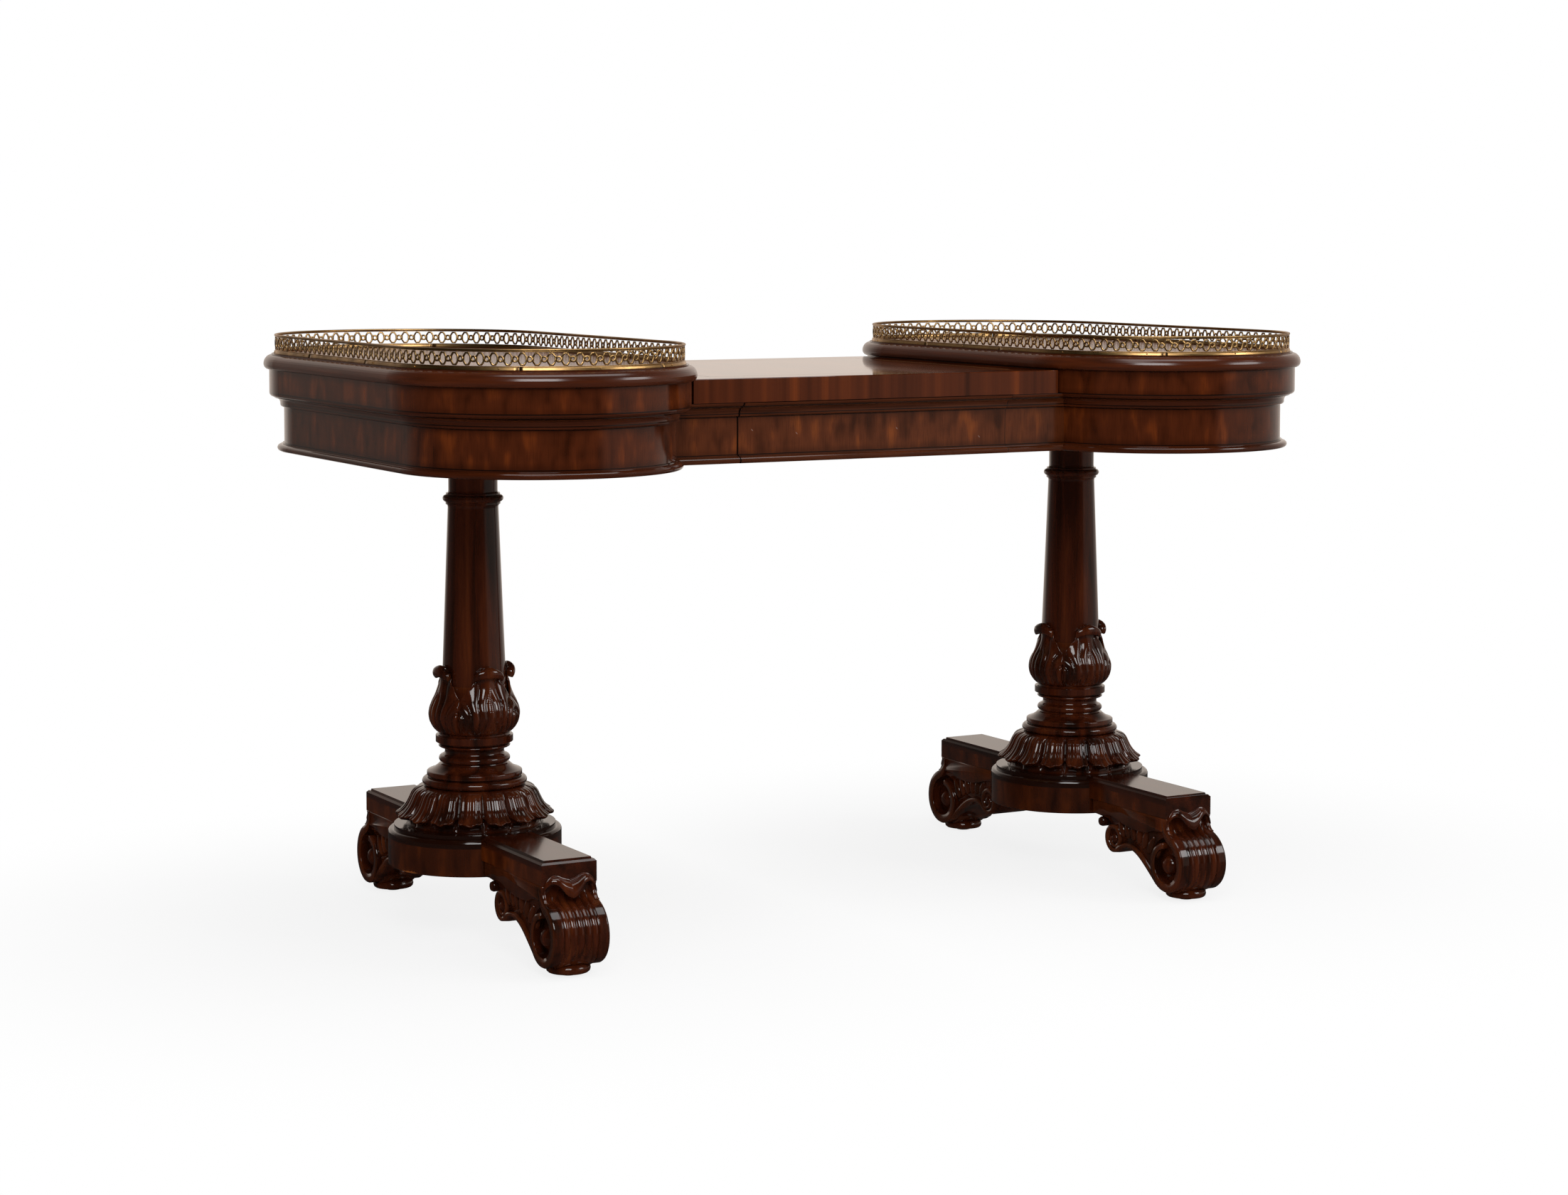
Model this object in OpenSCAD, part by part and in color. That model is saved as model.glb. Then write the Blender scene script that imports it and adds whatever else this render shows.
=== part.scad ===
// Games table: two round-ended trays with pierced brass galleries stand on carved column
// pedestals and carry a centre section with a drawer, a backgammon well and a sliding top.
// Millimetres. The origin is on the floor at the middle, +X runs to the right along the
// length, -Y is the drawer side and +Z is up. Each end is drawn with +X outwards, round the
// axis of its own pedestal, and is mirrored for the left.

/* [Heights] */
// Height of the games surface above the floor
surface_h = 740; // [700:1:780]
// Rise of the end trays above the games surface
tray_h = 21; // [18:0.5:26]
// Height of the upper veneered band, which is also the thickness of the sliding top
upper_band_h = 32; // [26:0.5:40]
// Height of the lower veneered band
lower_band_h = 48.8; // [40:0.1:60]
// Height of the bead round the bottom of the frieze
bead_h = 10.9; // [8:0.1:14]

/* [Plan] */
// Distance from the middle of the table to each pedestal axis
end_x = 473.7; // [450:0.1:520]
// Half the width of an end across its lower band, and the radius of its round front and back
end_r = 175.6; // [165:0.1:190]
// Half the length of the straight side of an end
straight_y = 205.5; // [195:0.5:230]
// Distance from the middle to the joint between a straight side and a bow
seam_y = 187; // [175:0.5:190]
// Distance from the middle to the front of the centre's lower band
centre_y = 238; // [232:0.5:244]
// Thickness of the frieze walls behind the lower band
wall_t = 20; // [16:0.5:24]
// Thickness of the board that closes the bottom of each end
bottom_board_t = 14; // [10:0.5:18]
// Height of the board's underside above the bottom edge of the frieze
bottom_board_up = 3.3; // [2:0.1:6]

/* [Mouldings] */
// Overhang of the upper band beyond the lower band, and the height of the stepped moulding
step_out = 19.6; // [18:0.1:22]
// Overhang of the tray's rounded edge beyond the lower band
nose_out = 27.1; // [25:0.1:30]
// Height of the widest line of that edge above the games surface
nose_up = 7; // [6:0.1:9]
// Overhang of the bottom bead beyond the lower band
bead_out = 9.5; // [8:0.1:12]
// Width of the border round the field of each tray and of the sliding top
border_w = 48; // [40:0.5:56]
// Width of the line scratched between a border and its field
line_w = 1.2; // [0.8:0.1:2]
// Depth of that line
line_d = 0.4; // [0.2:0.1:0.8]

/* [Brass gallery] */
// Distance of the gallery's middle line from the lower band, outwards
gallery_out = 10.7; // [8:0.1:13]
// Full height of the gallery
gallery_h = 26.5; // [22:0.5:32]
// Height of the solid rail at its foot
gallery_rail_h = 4.6; // [3.5:0.1:6]
// Height of the rolled rim at its top
gallery_rim_h = 3.2; // [2.4:0.1:4]
// Thickness of the pierced plate
fret_t = 1.8; // [1.2:0.1:2.4]
// Number of openings round each half circle
bow_cells = 32; // [30:2:34]
// Number of openings along half of each straight side
side_cells = 11.5; // [10.5:1:12.5]
// Width of the tall openings
oval_w = 9.4; // [8:0.1:10]
// Diameter of the small round openings
eye_d = 4.2; // [3:0.1:4.6]

/* [Sliding top and well] */
// Running clearance round the sliding top
top_gap = 0.3; // [0.2:0.05:0.6]
// Side of one chess square
square = 50; // [44:0.5:54]
// Thickness of the inlaid squares and points
inlay_t = 1.2; // [0.8:0.1:2]
// Depth of the backgammon well
well_depth = 22; // [18:0.5:26]
// Thickness of the well's floor
well_floor_t = 6; // [5:0.5:8]
// Width of each end board of the well, from the end's inner wall
cheek_w = 36; // [30:0.5:44]
// Width of the bar across the middle of the well
bar_w = 24; // [16:1:32]
// Length of a backgammon point
point_l = 152; // [130:1:165]

/* [Drawer] */
// Half the width of the drawer front
drawer_half_w = 204.7; // [190:0.1:215]
// Gap between the drawer front and the fixed frieze beside it
drawer_gap = 0.5; // [0.3:0.1:1]
// How far the drawer front stands proud of the frieze
drawer_proud = 1.5; // [0.5:0.1:3]
// Thickness of the drawer front behind the lower band
drawer_front_t = 21; // [18:0.5:22]
// Length of the stops between the drawer and the false front behind it
stop_l = 22; // [14:1:60]
// Height of the drawer sides
drawer_side_h = 32; // [28:0.5:34]
// Thickness of the drawer sides and back
drawer_side_t = 12; // [9:0.5:14]
// Thickness of the drawer bottom
drawer_bottom_t = 4; // [3:0.5:6]
// Running clearance of the drawer between its guides
drawer_play = 0.5; // [0.3:0.1:1]

/* [Columns] */
// Radius of the plain neck under the top
neck_r = 32.5; // [28:0.1:36]
// Radius of the ring below the neck
ring_r = 40.2; // [38:0.1:44]
// Height of the middle of that ring above the floor
ring_z = 576.5; // [560:0.5:590]
// Radius of the shaft just below the ring
shaft_top_r = 33.5; // [30:0.1:36]
// Radius of the shaft at its foot
shaft_foot_r = 42.4; // [40:0.1:43]
// Height of the foot of the shaft, inside the carved leaves
shaft_foot_z = 330; // [326:0.5:334]
// Greatest radius of the carved vase
vase_r = 60.7; // [58:0.1:64]
// Height of the tips of the vase's leaves
leaf_tip_z = 355; // [350:0.5:362]
// Height of the joint between the vase and the turned base
collar_z = 266; // [262:0.5:270]
// Radius of the collar under the vase
collar_r = 50.9; // [48:0.1:54]
// Radius of the narrowest part of the turned base
waist_r = 39.3; // [36:0.1:42]
// Radius of the bead above the leaf-carved bell
base_bead_r = 69.4; // [66:0.1:74]
// Height of the joint between the turned base and the bell
bell_top_z = 196; // [192:0.5:200]
// Greatest radius of the leaf-carved bell
bell_r = 104; // [98:0.5:106]
// Number of leaves carved round the bell
bell_leaves = 16; // [12:2:20]

/* [Platforms and feet] */
// Radius of the round platform
drum_r = 115; // [112:0.5:124]
// Height of the platform's underside
drum_bottom_z = 92.4; // [90:0.2:96]
// Height of the platform's side
drum_h = 47.4; // [44:0.2:50]
// Height of the disc raised on the platform
disc_h = 5.2; // [4:0.2:8]
// Half the width of the arms and the scroll feet
arm_half_w = 38; // [34:0.5:42]
// Distance from the pedestal axis to the end of an arm
arm_end = 297; // [290:0.5:305]
// Height of the joint between an arm and its foot
arm_joint_z = 115; // [112:0.5:120]
// Height of the top of an arm's side
arm_side_z = 141; // [136:0.5:146]
// Rise of the moulding on top of an arm
arm_crown_h = 5; // [3:0.5:7]
// Distance from the pedestal axis to the middle of the large volute
volute_y = 294; // [288:0.5:300]
// Height of the middle of the large volute
volute_z = 49; // [48:0.5:52]
// Outer radius of the large volute where it joins the front curve
volute_r = 45; // [43:0.5:47]
// Distance from the pedestal axis to the middle of the small volute
curl_y = 168; // [162:0.5:174]
// Height of the middle of the small volute
curl_z = 66; // [64:0.5:68]
// Outer radius of the small volute
curl_r = 22; // [20:0.5:24]
// Droop of the leaf that curls over at the top of a foot's front
leaf_droop = 13; // [8:0.5:16]
// How far the leaf's tip stands out from the end of the arm
leaf_out = 12; // [8:0.5:15]
// Depth of the carved grooves
groove_d = 2.5; // [1.5:0.1:4]
// Radius of the pad under a foot
pad_r = 28; // [24:0.5:32]

/* [Metal parts] */
// Radius of the tie rod through a pedestal
rod_r = 6; // [5:0.5:8]
// Radial clearance of the rod in the turned pieces
rod_gap = 0.3; // [0.2:0.1:0.6]
// Radius of the head of a levelling glide
glide_r = 11; // [9:0.5:13]
// Thickness of the head
glide_h = 4; // [3:0.5:5]
// Radius of the glide's stem
glide_stem_r = 4; // [3:0.5:5]
// Length of the stem that stays in the foot when the glide is screwed right out
glide_held_l = 10; // [6:0.5:14]
// Radial clearance of the stem in its socket
glide_gap = 0.3; // [0.2:0.1:0.5]
// Furthest that a glide screws out
glide_travel = 10; // [6:1:12]

/* [Hidden] */

// Heights of the frieze, from the games surface down
tray_z = surface_h + tray_h;
upper_z = surface_h - upper_band_h;
lower_z = upper_z - step_out;
bead_z = lower_z - lower_band_h;
frieze_z = bead_z - bead_h;
board_z = frieze_z + bottom_board_up;
board_top_z = board_z + bottom_board_t;

// Lines across the centre section
wall_x = end_x - end_r;
top_half_x = wall_x - step_out - 0.5;
top_half_y = centre_y + step_out;
wall_back_y = centre_y - wall_t;
well_half_x = wall_x - cheek_w;
well_half_y = seam_y - 0.5;
well_z = upper_z - well_depth;
well_under_z = well_z - well_floor_t;
rail_z = well_under_z - 2;
point_pitch = (well_half_x - bar_w / 2) / 6;

// Lines of the drawer
drawer_face_y = centre_y + drawer_proud;
drawer_back_y = drawer_face_y - drawer_front_t;
drawer_lip = 6;
drawer_up = 13;
drawer_side_x = drawer_half_w - drawer_lip;
drawer_z = frieze_z + drawer_up;
drawer_end_y = wall_back_y - stop_l - top_gap;
drawer_l = drawer_back_y + drawer_end_y;
drawer_groove = 5;
runner_t = 11;
runner_out = 17;

// Places along the pedestal
disc_z = drum_bottom_z + drum_h + disc_h;
disc_r = drum_r - 8;
rod_hole_r = rod_r + rod_gap;
nut_h = 10;
washer_t = 2;
washer_r = 3 * rod_r;
nut_recess = nut_h + washer_t + 1;
glide_hole_r = glide_stem_r + glide_gap;
glide_top_z = glide_h + glide_travel + glide_held_l;
glide_y = volute_y - 1;
pad_top_z = volute_z - 34;

mahogany = [0.30, 0.10, 0.05];
dark_wood = [0.18, 0.06, 0.04];
red_wood = [0.42, 0.16, 0.08];
light_wood = [0.80, 0.62, 0.38];
brass = [0.78, 0.58, 0.25];
steel = [0.45, 0.45, 0.47];

// Points round part of an ellipse, from angle a0 to a1
function arc(cx, cy, rx, ry, a0, a1, n = 6) =
    [for (i = [0 : n]) let (a = a0 + (a1 - a0) * i / n) [cx + rx * cos(a), cy + ry * sin(a)]];

// Points along a spiral whose radius runs from r0 to r1
function spiral(c, r0, r1, a0, a1, n) =
    [for (i = [0 : n]) let (t = i / n, a = a0 + (a1 - a0) * t, r = r0 + (r1 - r0) * t)
        [c[0] + r * cos(a), c[1] + r * sin(a)]];

// Points along a curve that leaves p0 and reaches p2 towards the corner p1
function bend(p0, p1, p2, n = 5) =
    [for (i = [0 : n]) let (t = i / n) (1 - t) ^ 2 * p0 + 2 * t * (1 - t) * p1 + t ^ 2 * p2];

function reversed(list) = [for (i = [len(list) - 1 : -1 : 0]) list[i]];
function between(a, b, t) = a + (b - a) * t;

// Outlines are lists of [outward from the lower band, height]

// The bead at the bottom of the frieze, from its underside up to the lower band
bead_points = concat(
    arc(bead_out - 4.2, frieze_z + 4.2, 4.2, 4.2, -90, 0),
    arc(2, frieze_z + 4.2, bead_out - 2, bead_h - 6, 10, 90),
    [[2, bead_z], [0, bead_z]]
);

// The stepped moulding, from the lower band up to the upper band
step_points = concat(
    [[0, lower_z]],
    arc(2, lower_z + 3.5, 3, 3, -90, 0, 4),
    arc(step_out - 6.5, lower_z + 5, step_out - 11.5, step_out - 11.5, 180, 90),
    [[step_out - 6.5, upper_z - 5]],
    arc(step_out - 5, upper_z, 5, 5, -90, 0)
);

// The rounded edge of a tray, from its underside up to its top
nose_points = concat(
    arc(step_out + 1, surface_h + nose_up, nose_out - step_out - 1, nose_up, -90, 0),
    arc(nose_out - 11, surface_h + nose_up, 11, tray_h - nose_up - 1.5, 10, 90),
    [[nose_out - 11, tray_z]]
);

function frieze_points(inner, top) = concat(
    [[inner, frieze_z]],
    bead_points,
    [for (p = step_points) if (p[1] < top) p],
    [[step_out, top], [inner, top]]
);

// Sweeps an outline along a straight side, from y0 to y1
module side_run(outline, y0, y1) {
    translate([end_r, y1, 0]) rotate([90, 0, 0])
        linear_extrude(height = y1 - y0) polygon(outline);
}

// Sweeps an outline round the half circle at the back of an end
module half_round(outline) {
    translate([0, straight_y, 0]) rotate_extrude(angle = 180, $fn = 96)
        translate([end_r, 0]) polygon(outline);
}

// A bow: the half circle and the short straight stretches up to its joints
module bow_run(outline) {
    half_round(outline);
    side_run(outline, seam_y, straight_y);
    mirror([1, 0, 0]) side_run(outline, seam_y, straight_y);
}

// A round-ended board; the outline runs up its edge, from the underside to the top
module board(outline) {
    for (end = [-1, 1]) translate([0, end * straight_y, 0]) round_board(outline);
    translate([0, straight_y, 0]) rotate([90, 0, 0]) linear_extrude(height = 2 * straight_y) polygon(concat(
        [for (p = outline) [end_r + p[0], p[1]]],
        [for (p = reversed(outline)) [-end_r - p[0], p[1]]]
    ));
}

module round_board(outline) {
    low = outline[0][1];
    high = outline[len(outline) - 1][1];
    rotate_extrude($fn = 96)
        polygon(concat([[0, low]], [for (p = outline) [end_r + p[0], p[1]]], [[0, high]]));
}

// Sweeps an outline along the front of the centre section, facing -Y, from x0 to x1
module centre_run(outline, face_y, x0, x1) {
    translate([x1, -face_y, 0]) rotate([90, 0, -90])
        linear_extrude(height = x1 - x0) polygon(outline);
}

// Puts what is drawn for the right end on the left (-1) or the right (1)
module at_end(side) {
    if (side > 0) translate([end_x, 0, 0]) children();
    else mirror([1, 0, 0]) translate([end_x, 0, 0]) children();
}

// Puts what is drawn for the back at the front (-1) or the back (1)
module at_face(face) {
    if (face > 0) children();
    else mirror([0, 1, 0]) children();
}

// Raised ends

// The plan of a round-ended field, drawn in from the edge of the tray
module field_plan(inset) {
    r = end_r + nose_out - inset;
    for (end = [-1, 1]) translate([0, end * straight_y]) circle(r = r, $fn = 96);
    translate([-r, -straight_y]) square([2 * r, 2 * straight_y]);
}

module tray_top(side) color(mahogany) at_end(side) difference() {
    board(nose_points);
    translate([0, 0, tray_z - line_d]) linear_extrude(height = line_d + 1) difference() {
        field_plan(border_w);
        field_plan(border_w + line_w);
    }
}

module end_bottom(side) color(dark_wood) at_end(side) difference() {
    board([[-wall_t, board_z], [-wall_t, board_top_z]]);
    translate([0, 0, board_z - 1]) cylinder(r = rod_hole_r, h = bottom_board_t + 2, $fn = 48);
}

module frieze_bow(side, face) color(mahogany) at_end(side) at_face(face)
    bow_run(frieze_points(-wall_t, surface_h));

module outer_side(side) color(mahogany) at_end(side)
    side_run(frieze_points(-wall_t, surface_h), -seam_y, seam_y);

// The inner wall is covered by the centre section, so it is plain, with a thick upper part
module inner_side(side) color(mahogany) at_end(side) mirror([1, 0, 0]) side_run([
    [-wall_t, frieze_z], [0, frieze_z], [0, upper_z], [step_out, upper_z],
    [step_out, surface_h], [-wall_t, surface_h]
], -seam_y, seam_y);

// Pierced brass gallery

gallery_r = end_r + gallery_out;
fret_z = tray_z + gallery_rail_h;
fret_h = gallery_h - gallery_rail_h - gallery_rim_h;
fret_edge = 0.5;
side_cell_w = straight_y / side_cells;

gallery_rail_points = concat(
    [[gallery_out - 2, tray_z], [gallery_out + 2, tray_z], [gallery_out + 2, tray_z + 1.5]],
    arc(gallery_out, tray_z + 1.5, 2, gallery_rail_h - 1.5, 20, 160, 6),
    [[gallery_out - 2, tray_z + 1.5]]
);

gallery_rim_points = arc(
    gallery_out, tray_z + gallery_h - gallery_rim_h / 2, fret_t / 2 + 0.8, gallery_rim_h / 2, 0, 330, 11
);

// The tall opening is an upright octagon
module tall_opening() {
    half_w = oval_w / 2;
    half_h = fret_h * 0.35;
    shoulder = half_h * 0.52;
    tip = half_w * 0.42;
    polygon([
        [half_w, -shoulder], [half_w, shoulder], [tip, half_h], [-tip, half_h],
        [-half_w, shoulder], [-half_w, -shoulder], [-tip, -half_h], [tip, -half_h]
    ]);
}

// A round eye between two wedges, which stand over and under it
module eye_column() {
    circle(d = eye_d, $fn = 32);
    for (up = [-1, 1]) polygon([
        [-eye_d, up * fret_h * 0.46], [eye_d, up * fret_h * 0.46],
        [eye_d * 0.62, up * fret_h * 0.26], [-eye_d * 0.62, up * fret_h * 0.26]
    ]);
}

// A flat stretch of pierced plate, cells wide, standing on the line from [0, 0] along +X
module fret_plate(cells, cell_w) {
    translate([0, fret_t / 2, fret_z - fret_edge]) rotate([90, 0, 0]) linear_extrude(height = fret_t)
        translate([0, fret_h / 2 + fret_edge]) difference() {
            translate([0, -fret_h / 2 - fret_edge]) square([cells * cell_w, fret_h + 2 * fret_edge]);
            for (i = [1 : ceil(cells) - 1]) translate([i * cell_w, 0]) eye_column();
            for (i = [0 : ceil(cells) - 1]) translate([(i + 0.5) * cell_w, 0]) tall_opening();
        }
}

// The plate round the half circle is made of flats, one to each tall opening
module bow_plate() {
    corner_r = gallery_r / cos(90 / bow_cells);
    difference() {
        translate([0, 0, fret_z - fret_edge]) linear_extrude(height = fret_h + 2 * fret_edge) polygon(concat(
            arc(0, 0, corner_r + fret_t / 2, corner_r + fret_t / 2, 0, 180, bow_cells),
            arc(0, 0, corner_r - fret_t / 2, corner_r - fret_t / 2, 180, 0, bow_cells)
        ));
        for (i = [0 : bow_cells - 1]) radial_cut((i + 0.5) * 180 / bow_cells) tall_opening();
        for (i = [1 : bow_cells - 1]) radial_cut(i * 180 / bow_cells) eye_column();
    }
}

module radial_cut(a) {
    rotate([0, 0, a]) translate([gallery_r - 5, 0, fret_z + fret_h / 2]) rotate([90, 0, 90])
        linear_extrude(height = 10) children();
}

module gallery_half(side, face) color(brass) at_end(side) at_face(face) {
    for (points = [gallery_rail_points, gallery_rim_points]) {
        half_round(points);
        side_run(points, 0, straight_y);
        mirror([1, 0, 0]) side_run(points, 0, straight_y);
    }
    translate([0, straight_y, 0]) bow_plate();
    for (flip = [0, 1]) mirror([flip, 0, 0])
        translate([gallery_r, straight_y, 0]) rotate([0, 0, -90]) fret_plate(side_cells, side_cell_w);
}

// Centre section

// The fixed frieze beside the drawer, cut to the bow that it meets
module flank(side, face) color(mahogany) at_face(-face) mirror([side > 0 ? 0 : 1, 0, 0]) difference() {
    centre_run(frieze_points(-wall_t, upper_z), centre_y,
        drawer_half_w + drawer_gap, wall_x + end_r / 2);
    translate([end_x, -straight_y, 0])
        round_board(concat(
            [[bead_points[0][0], frieze_z - 1]], bead_points, step_points, [[step_out, surface_h]]
        ));
}

// The false front at the back matches the drawer and is fixed to the rail and runners behind it
module dummy_drawer_front() color(mahogany) mirror([0, 1, 0])
    centre_run(frieze_points(wall_back_y - drawer_face_y, upper_z), drawer_face_y,
        -drawer_half_w, drawer_half_w);

// Front and back rails that carry the sliding top and close the well
module well_rails() color(dark_wood) for (face = [-1, 1]) at_face(face)
    translate([-top_half_x, well_half_y, rail_z])
    cube([2 * top_half_x, wall_back_y - well_half_y, upper_z - rail_z]);

module well_cheeks() color(dark_wood) for (side = [0, 1]) mirror([side, 0, 0])
    translate([well_half_x, -well_half_y, rail_z]) cube([cheek_w, 2 * well_half_y, upper_z - rail_z]);

// A backgammon point from the back edge of the well, number i from the bar
module point_shape(i, side, face) {
    mirror([side, 0, 0]) mirror([0, face, 0])
        translate([bar_w / 2 + (i + 0.5) * point_pitch, well_half_y, well_z - inlay_t])
        linear_extrude(height = inlay_t)
        polygon([[-point_pitch / 2 + 0.4, 0], [point_pitch / 2 - 0.4, 0], [0, -point_l]]);
}

// The points of one colour: every other one, with the colours crossed over at each corner
module point_set(shade) for (side = [0, 1]) for (face = [0, 1])
    for (i = [(shade + side + face) % 2 : 2 : 5]) point_shape(i, side, face);

module well_floor() color(red_wood) difference() {
    translate([-well_half_x, -well_half_y, well_under_z])
        cube([2 * well_half_x, 2 * well_half_y, well_floor_t]);
    for (shade = [0, 1]) point_set(shade);
}

module light_points() color(light_wood) point_set(0);

module dark_points() color(dark_wood) point_set(1);

module well_bar() color(mahogany)
    translate([-bar_w / 2, -well_half_y, well_z]) cube([bar_w, 2 * well_half_y, well_depth - 5]);

// Each runner has a ledge under the drawer side and a guide beside it
module drawer_runners() color(dark_wood) for (side = [0, 1]) mirror([side, 0, 0])
    translate([0, wall_back_y, 0]) rotate([90, 0, 0]) linear_extrude(height = 2 * wall_back_y) polygon([
        [drawer_side_x - drawer_side_t, drawer_z - runner_t],
        [drawer_side_x + runner_out, drawer_z - runner_t],
        [drawer_side_x + runner_out, rail_z],
        [drawer_side_x + drawer_play, rail_z],
        [drawer_side_x + drawer_play, drawer_z - top_gap],
        [drawer_side_x - drawer_side_t, drawer_z - top_gap]
    ]);

module drawer_stops() color(dark_wood) for (side = [0, 1]) mirror([side, 0, 0])
    translate([drawer_side_x - drawer_side_t, wall_back_y - stop_l, drawer_z - top_gap])
    cube([drawer_side_t - 1, stop_l, drawer_side_h - 6]);

// Sliding top, with the chessboard on its underside

top_under_z = upper_z + top_gap;
top_chamfer = 1;
board_half = 4 * square;

module top_panel() color(mahogany) difference() {
    translate([top_half_x, 0, 0]) rotate([90, 0, -90]) linear_extrude(height = 2 * top_half_x) polygon([
        [-top_half_y, top_under_z], [top_half_y, top_under_z],
        [top_half_y, surface_h - top_gap - top_chamfer], [top_half_y - top_chamfer, surface_h - top_gap],
        [-top_half_y + top_chamfer, surface_h - top_gap], [-top_half_y, surface_h - top_gap - top_chamfer]
    ]);
    translate([-board_half, -board_half, top_under_z - 1]) cube([8 * square, 8 * square, 1 + inlay_t]);
    translate([0, 0, surface_h - top_gap - line_d]) linear_extrude(height = line_d + 1) difference() {
        square([2 * (top_half_x - border_w), 2 * (top_half_y - border_w)], center = true);
        square([2 * (top_half_x - border_w - line_w), 2 * (top_half_y - border_w - line_w)], center = true);
    }
}

module squares(shade) for (column = [0 : 7]) for (row = [0 : 7]) if ((column + row) % 2 == shade)
    translate([column * square - board_half + 0.1, row * square - board_half + 0.1, top_under_z])
    cube([square - 0.2, square - 0.2, inlay_t]);

module light_squares() color(light_wood) squares(0);

module dark_squares() color(dark_wood) squares(1);

// Drawer

groove_z = drawer_z + 4;

module drawer_front() color(mahogany) difference() {
    centre_run(frieze_points(-drawer_front_t, upper_z - drawer_gap), drawer_face_y,
        -drawer_half_w, drawer_half_w);
    translate([-drawer_side_x + drawer_side_t - drawer_groove, -drawer_back_y - drawer_groove, groove_z])
        cube([2 * (drawer_side_x - drawer_side_t + drawer_groove), drawer_groove + 1, drawer_bottom_t]);
}

module drawer_side(side) color(light_wood) mirror([side > 0 ? 0 : 1, 0, 0]) difference() {
    translate([drawer_side_x - drawer_side_t, -drawer_back_y, drawer_z])
        cube([drawer_side_t, drawer_l, drawer_side_h]);
    translate([drawer_side_x - drawer_side_t - 1, -drawer_back_y - 1, groove_z])
        cube([drawer_groove + 1, drawer_l + 2, drawer_bottom_t]);
}

module drawer_back() color(light_wood)
    translate([-drawer_side_x + drawer_side_t, drawer_end_y - drawer_side_t - 6, groove_z + drawer_bottom_t])
    cube([2 * (drawer_side_x - drawer_side_t), drawer_side_t, drawer_side_h - 8 - drawer_bottom_t]);

module drawer_bottom() color(light_wood)
    translate([-drawer_side_x + drawer_side_t - drawer_groove, -drawer_back_y - drawer_groove, groove_z])
    cube([2 * (drawer_side_x - drawer_side_t + drawer_groove), drawer_l + drawer_groove, drawer_bottom_t]);

// Column pedestals

// The neck, the ring and the tapered shaft are one turning
column_points = concat(
    [[rod_hole_r, shaft_foot_z], [shaft_foot_r, shaft_foot_z], [shaft_top_r, ring_z - 12]],
    bend([shaft_top_r, ring_z - 12], [shaft_top_r, ring_z - 8], [ring_r - 4, ring_z - 7.5], 3),
    [[ring_r - 4, ring_z - 5]],
    arc(ring_r - 4.5, ring_z, 4.5, 4.5, -80, 80, 8),
    [[ring_r - 4.5, ring_z + 5], [ring_r - 4.5, ring_z + 7]],
    bend([neck_r + 1.5, ring_z + 7], [neck_r, ring_z + 7.5], [neck_r, ring_z + 11], 3),
    [[neck_r, board_z], [rod_hole_r, board_z]]
);

module column(side) color(mahogany) at_end(side) rotate_extrude($fn = 96) polygon(column_points);

// Collar, waist, ring, step and bead, from the top down
base_points = let (z = collar_z) concat(
    [[rod_hole_r, z], [collar_r - 4, z], [collar_r - 4, z - 2]],
    arc(collar_r - 5, z - 8, 5, 5.5, 80, -80, 8),
    [[collar_r - 5, z - 15], [waist_r + 4, z - 17]],
    bend([waist_r + 4, z - 17], [waist_r - 1, z - 22], [waist_r, z - 26], 4),
    bend([waist_r, z - 26], [waist_r + 0.5, z - 28.5], [waist_r + 3, z - 29], 3),
    arc(waist_r + 2.6, z - 34.7, 4.5, 5, 90, -90, 8),
    [[waist_r + 2, z - 41]],
    bend([waist_r + 2, z - 41], [waist_r + 4, z - 48], [waist_r + 18, z - 49.5], 5),
    [[waist_r + 23.7, z - 49.5], [waist_r + 23.7, z - 57], [waist_r + 20, z - 57.5], [waist_r + 20, z - 59]],
    arc(base_bead_r - 6, (z - 59 + bell_top_z) / 2, 6, (z - 59 - bell_top_z) / 2, 80, -90, 8),
    [[rod_hole_r, bell_top_z]]
);

module turned_base(side) color(mahogany) at_end(side) rotate_extrude($fn = 96) polygon(base_points);

// Joins rings of points into a closed skin; each ring is a list of [x, y, z]
module skin(rings) {
    n = len(rings[0]);
    last = len(rings) - 1;
    polyhedron(
        points = [for (ring = rings) each ring],
        faces = concat(
            [[for (i = [0 : n - 1]) i]],
            [for (k = [0 : last - 1]) for (i = [0 : n - 1]) let (j = (i + 1) % n)
                each [
                    [k * n + i, (k + 1) * n + i, (k + 1) * n + j],
                    [k * n + i, (k + 1) * n + j, k * n + j]
                ]],
            [[for (i = [n - 1 : -1 : 0]) last * n + i]]
        )
    );
}

// How far a direction lies towards the middle of one of the vase's four leaves, 1 to 0
function leaf_share(a) = (1 + cos(4 * a)) / 2;

// Three lobes to a leaf, the middle one on its axis
function lobe(a) = cos(12 * a);

// One ring of the vase: plain radius, swell of the lobes, and lift and flare of the leaves
function vase_ring(r, z, carve, lift, flare, n = 96) = [for (i = [0 : n - 1])
    let (a = 360 * i / n, out = r + carve * lobe(a) + flare * leaf_share(a))
    [out * cos(a), out * sin(a), z + lift * leaf_share(a)]];

socket_r = shaft_foot_r + 0.5;
leaf_lift = leaf_tip_z - shaft_foot_z - 3;

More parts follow.
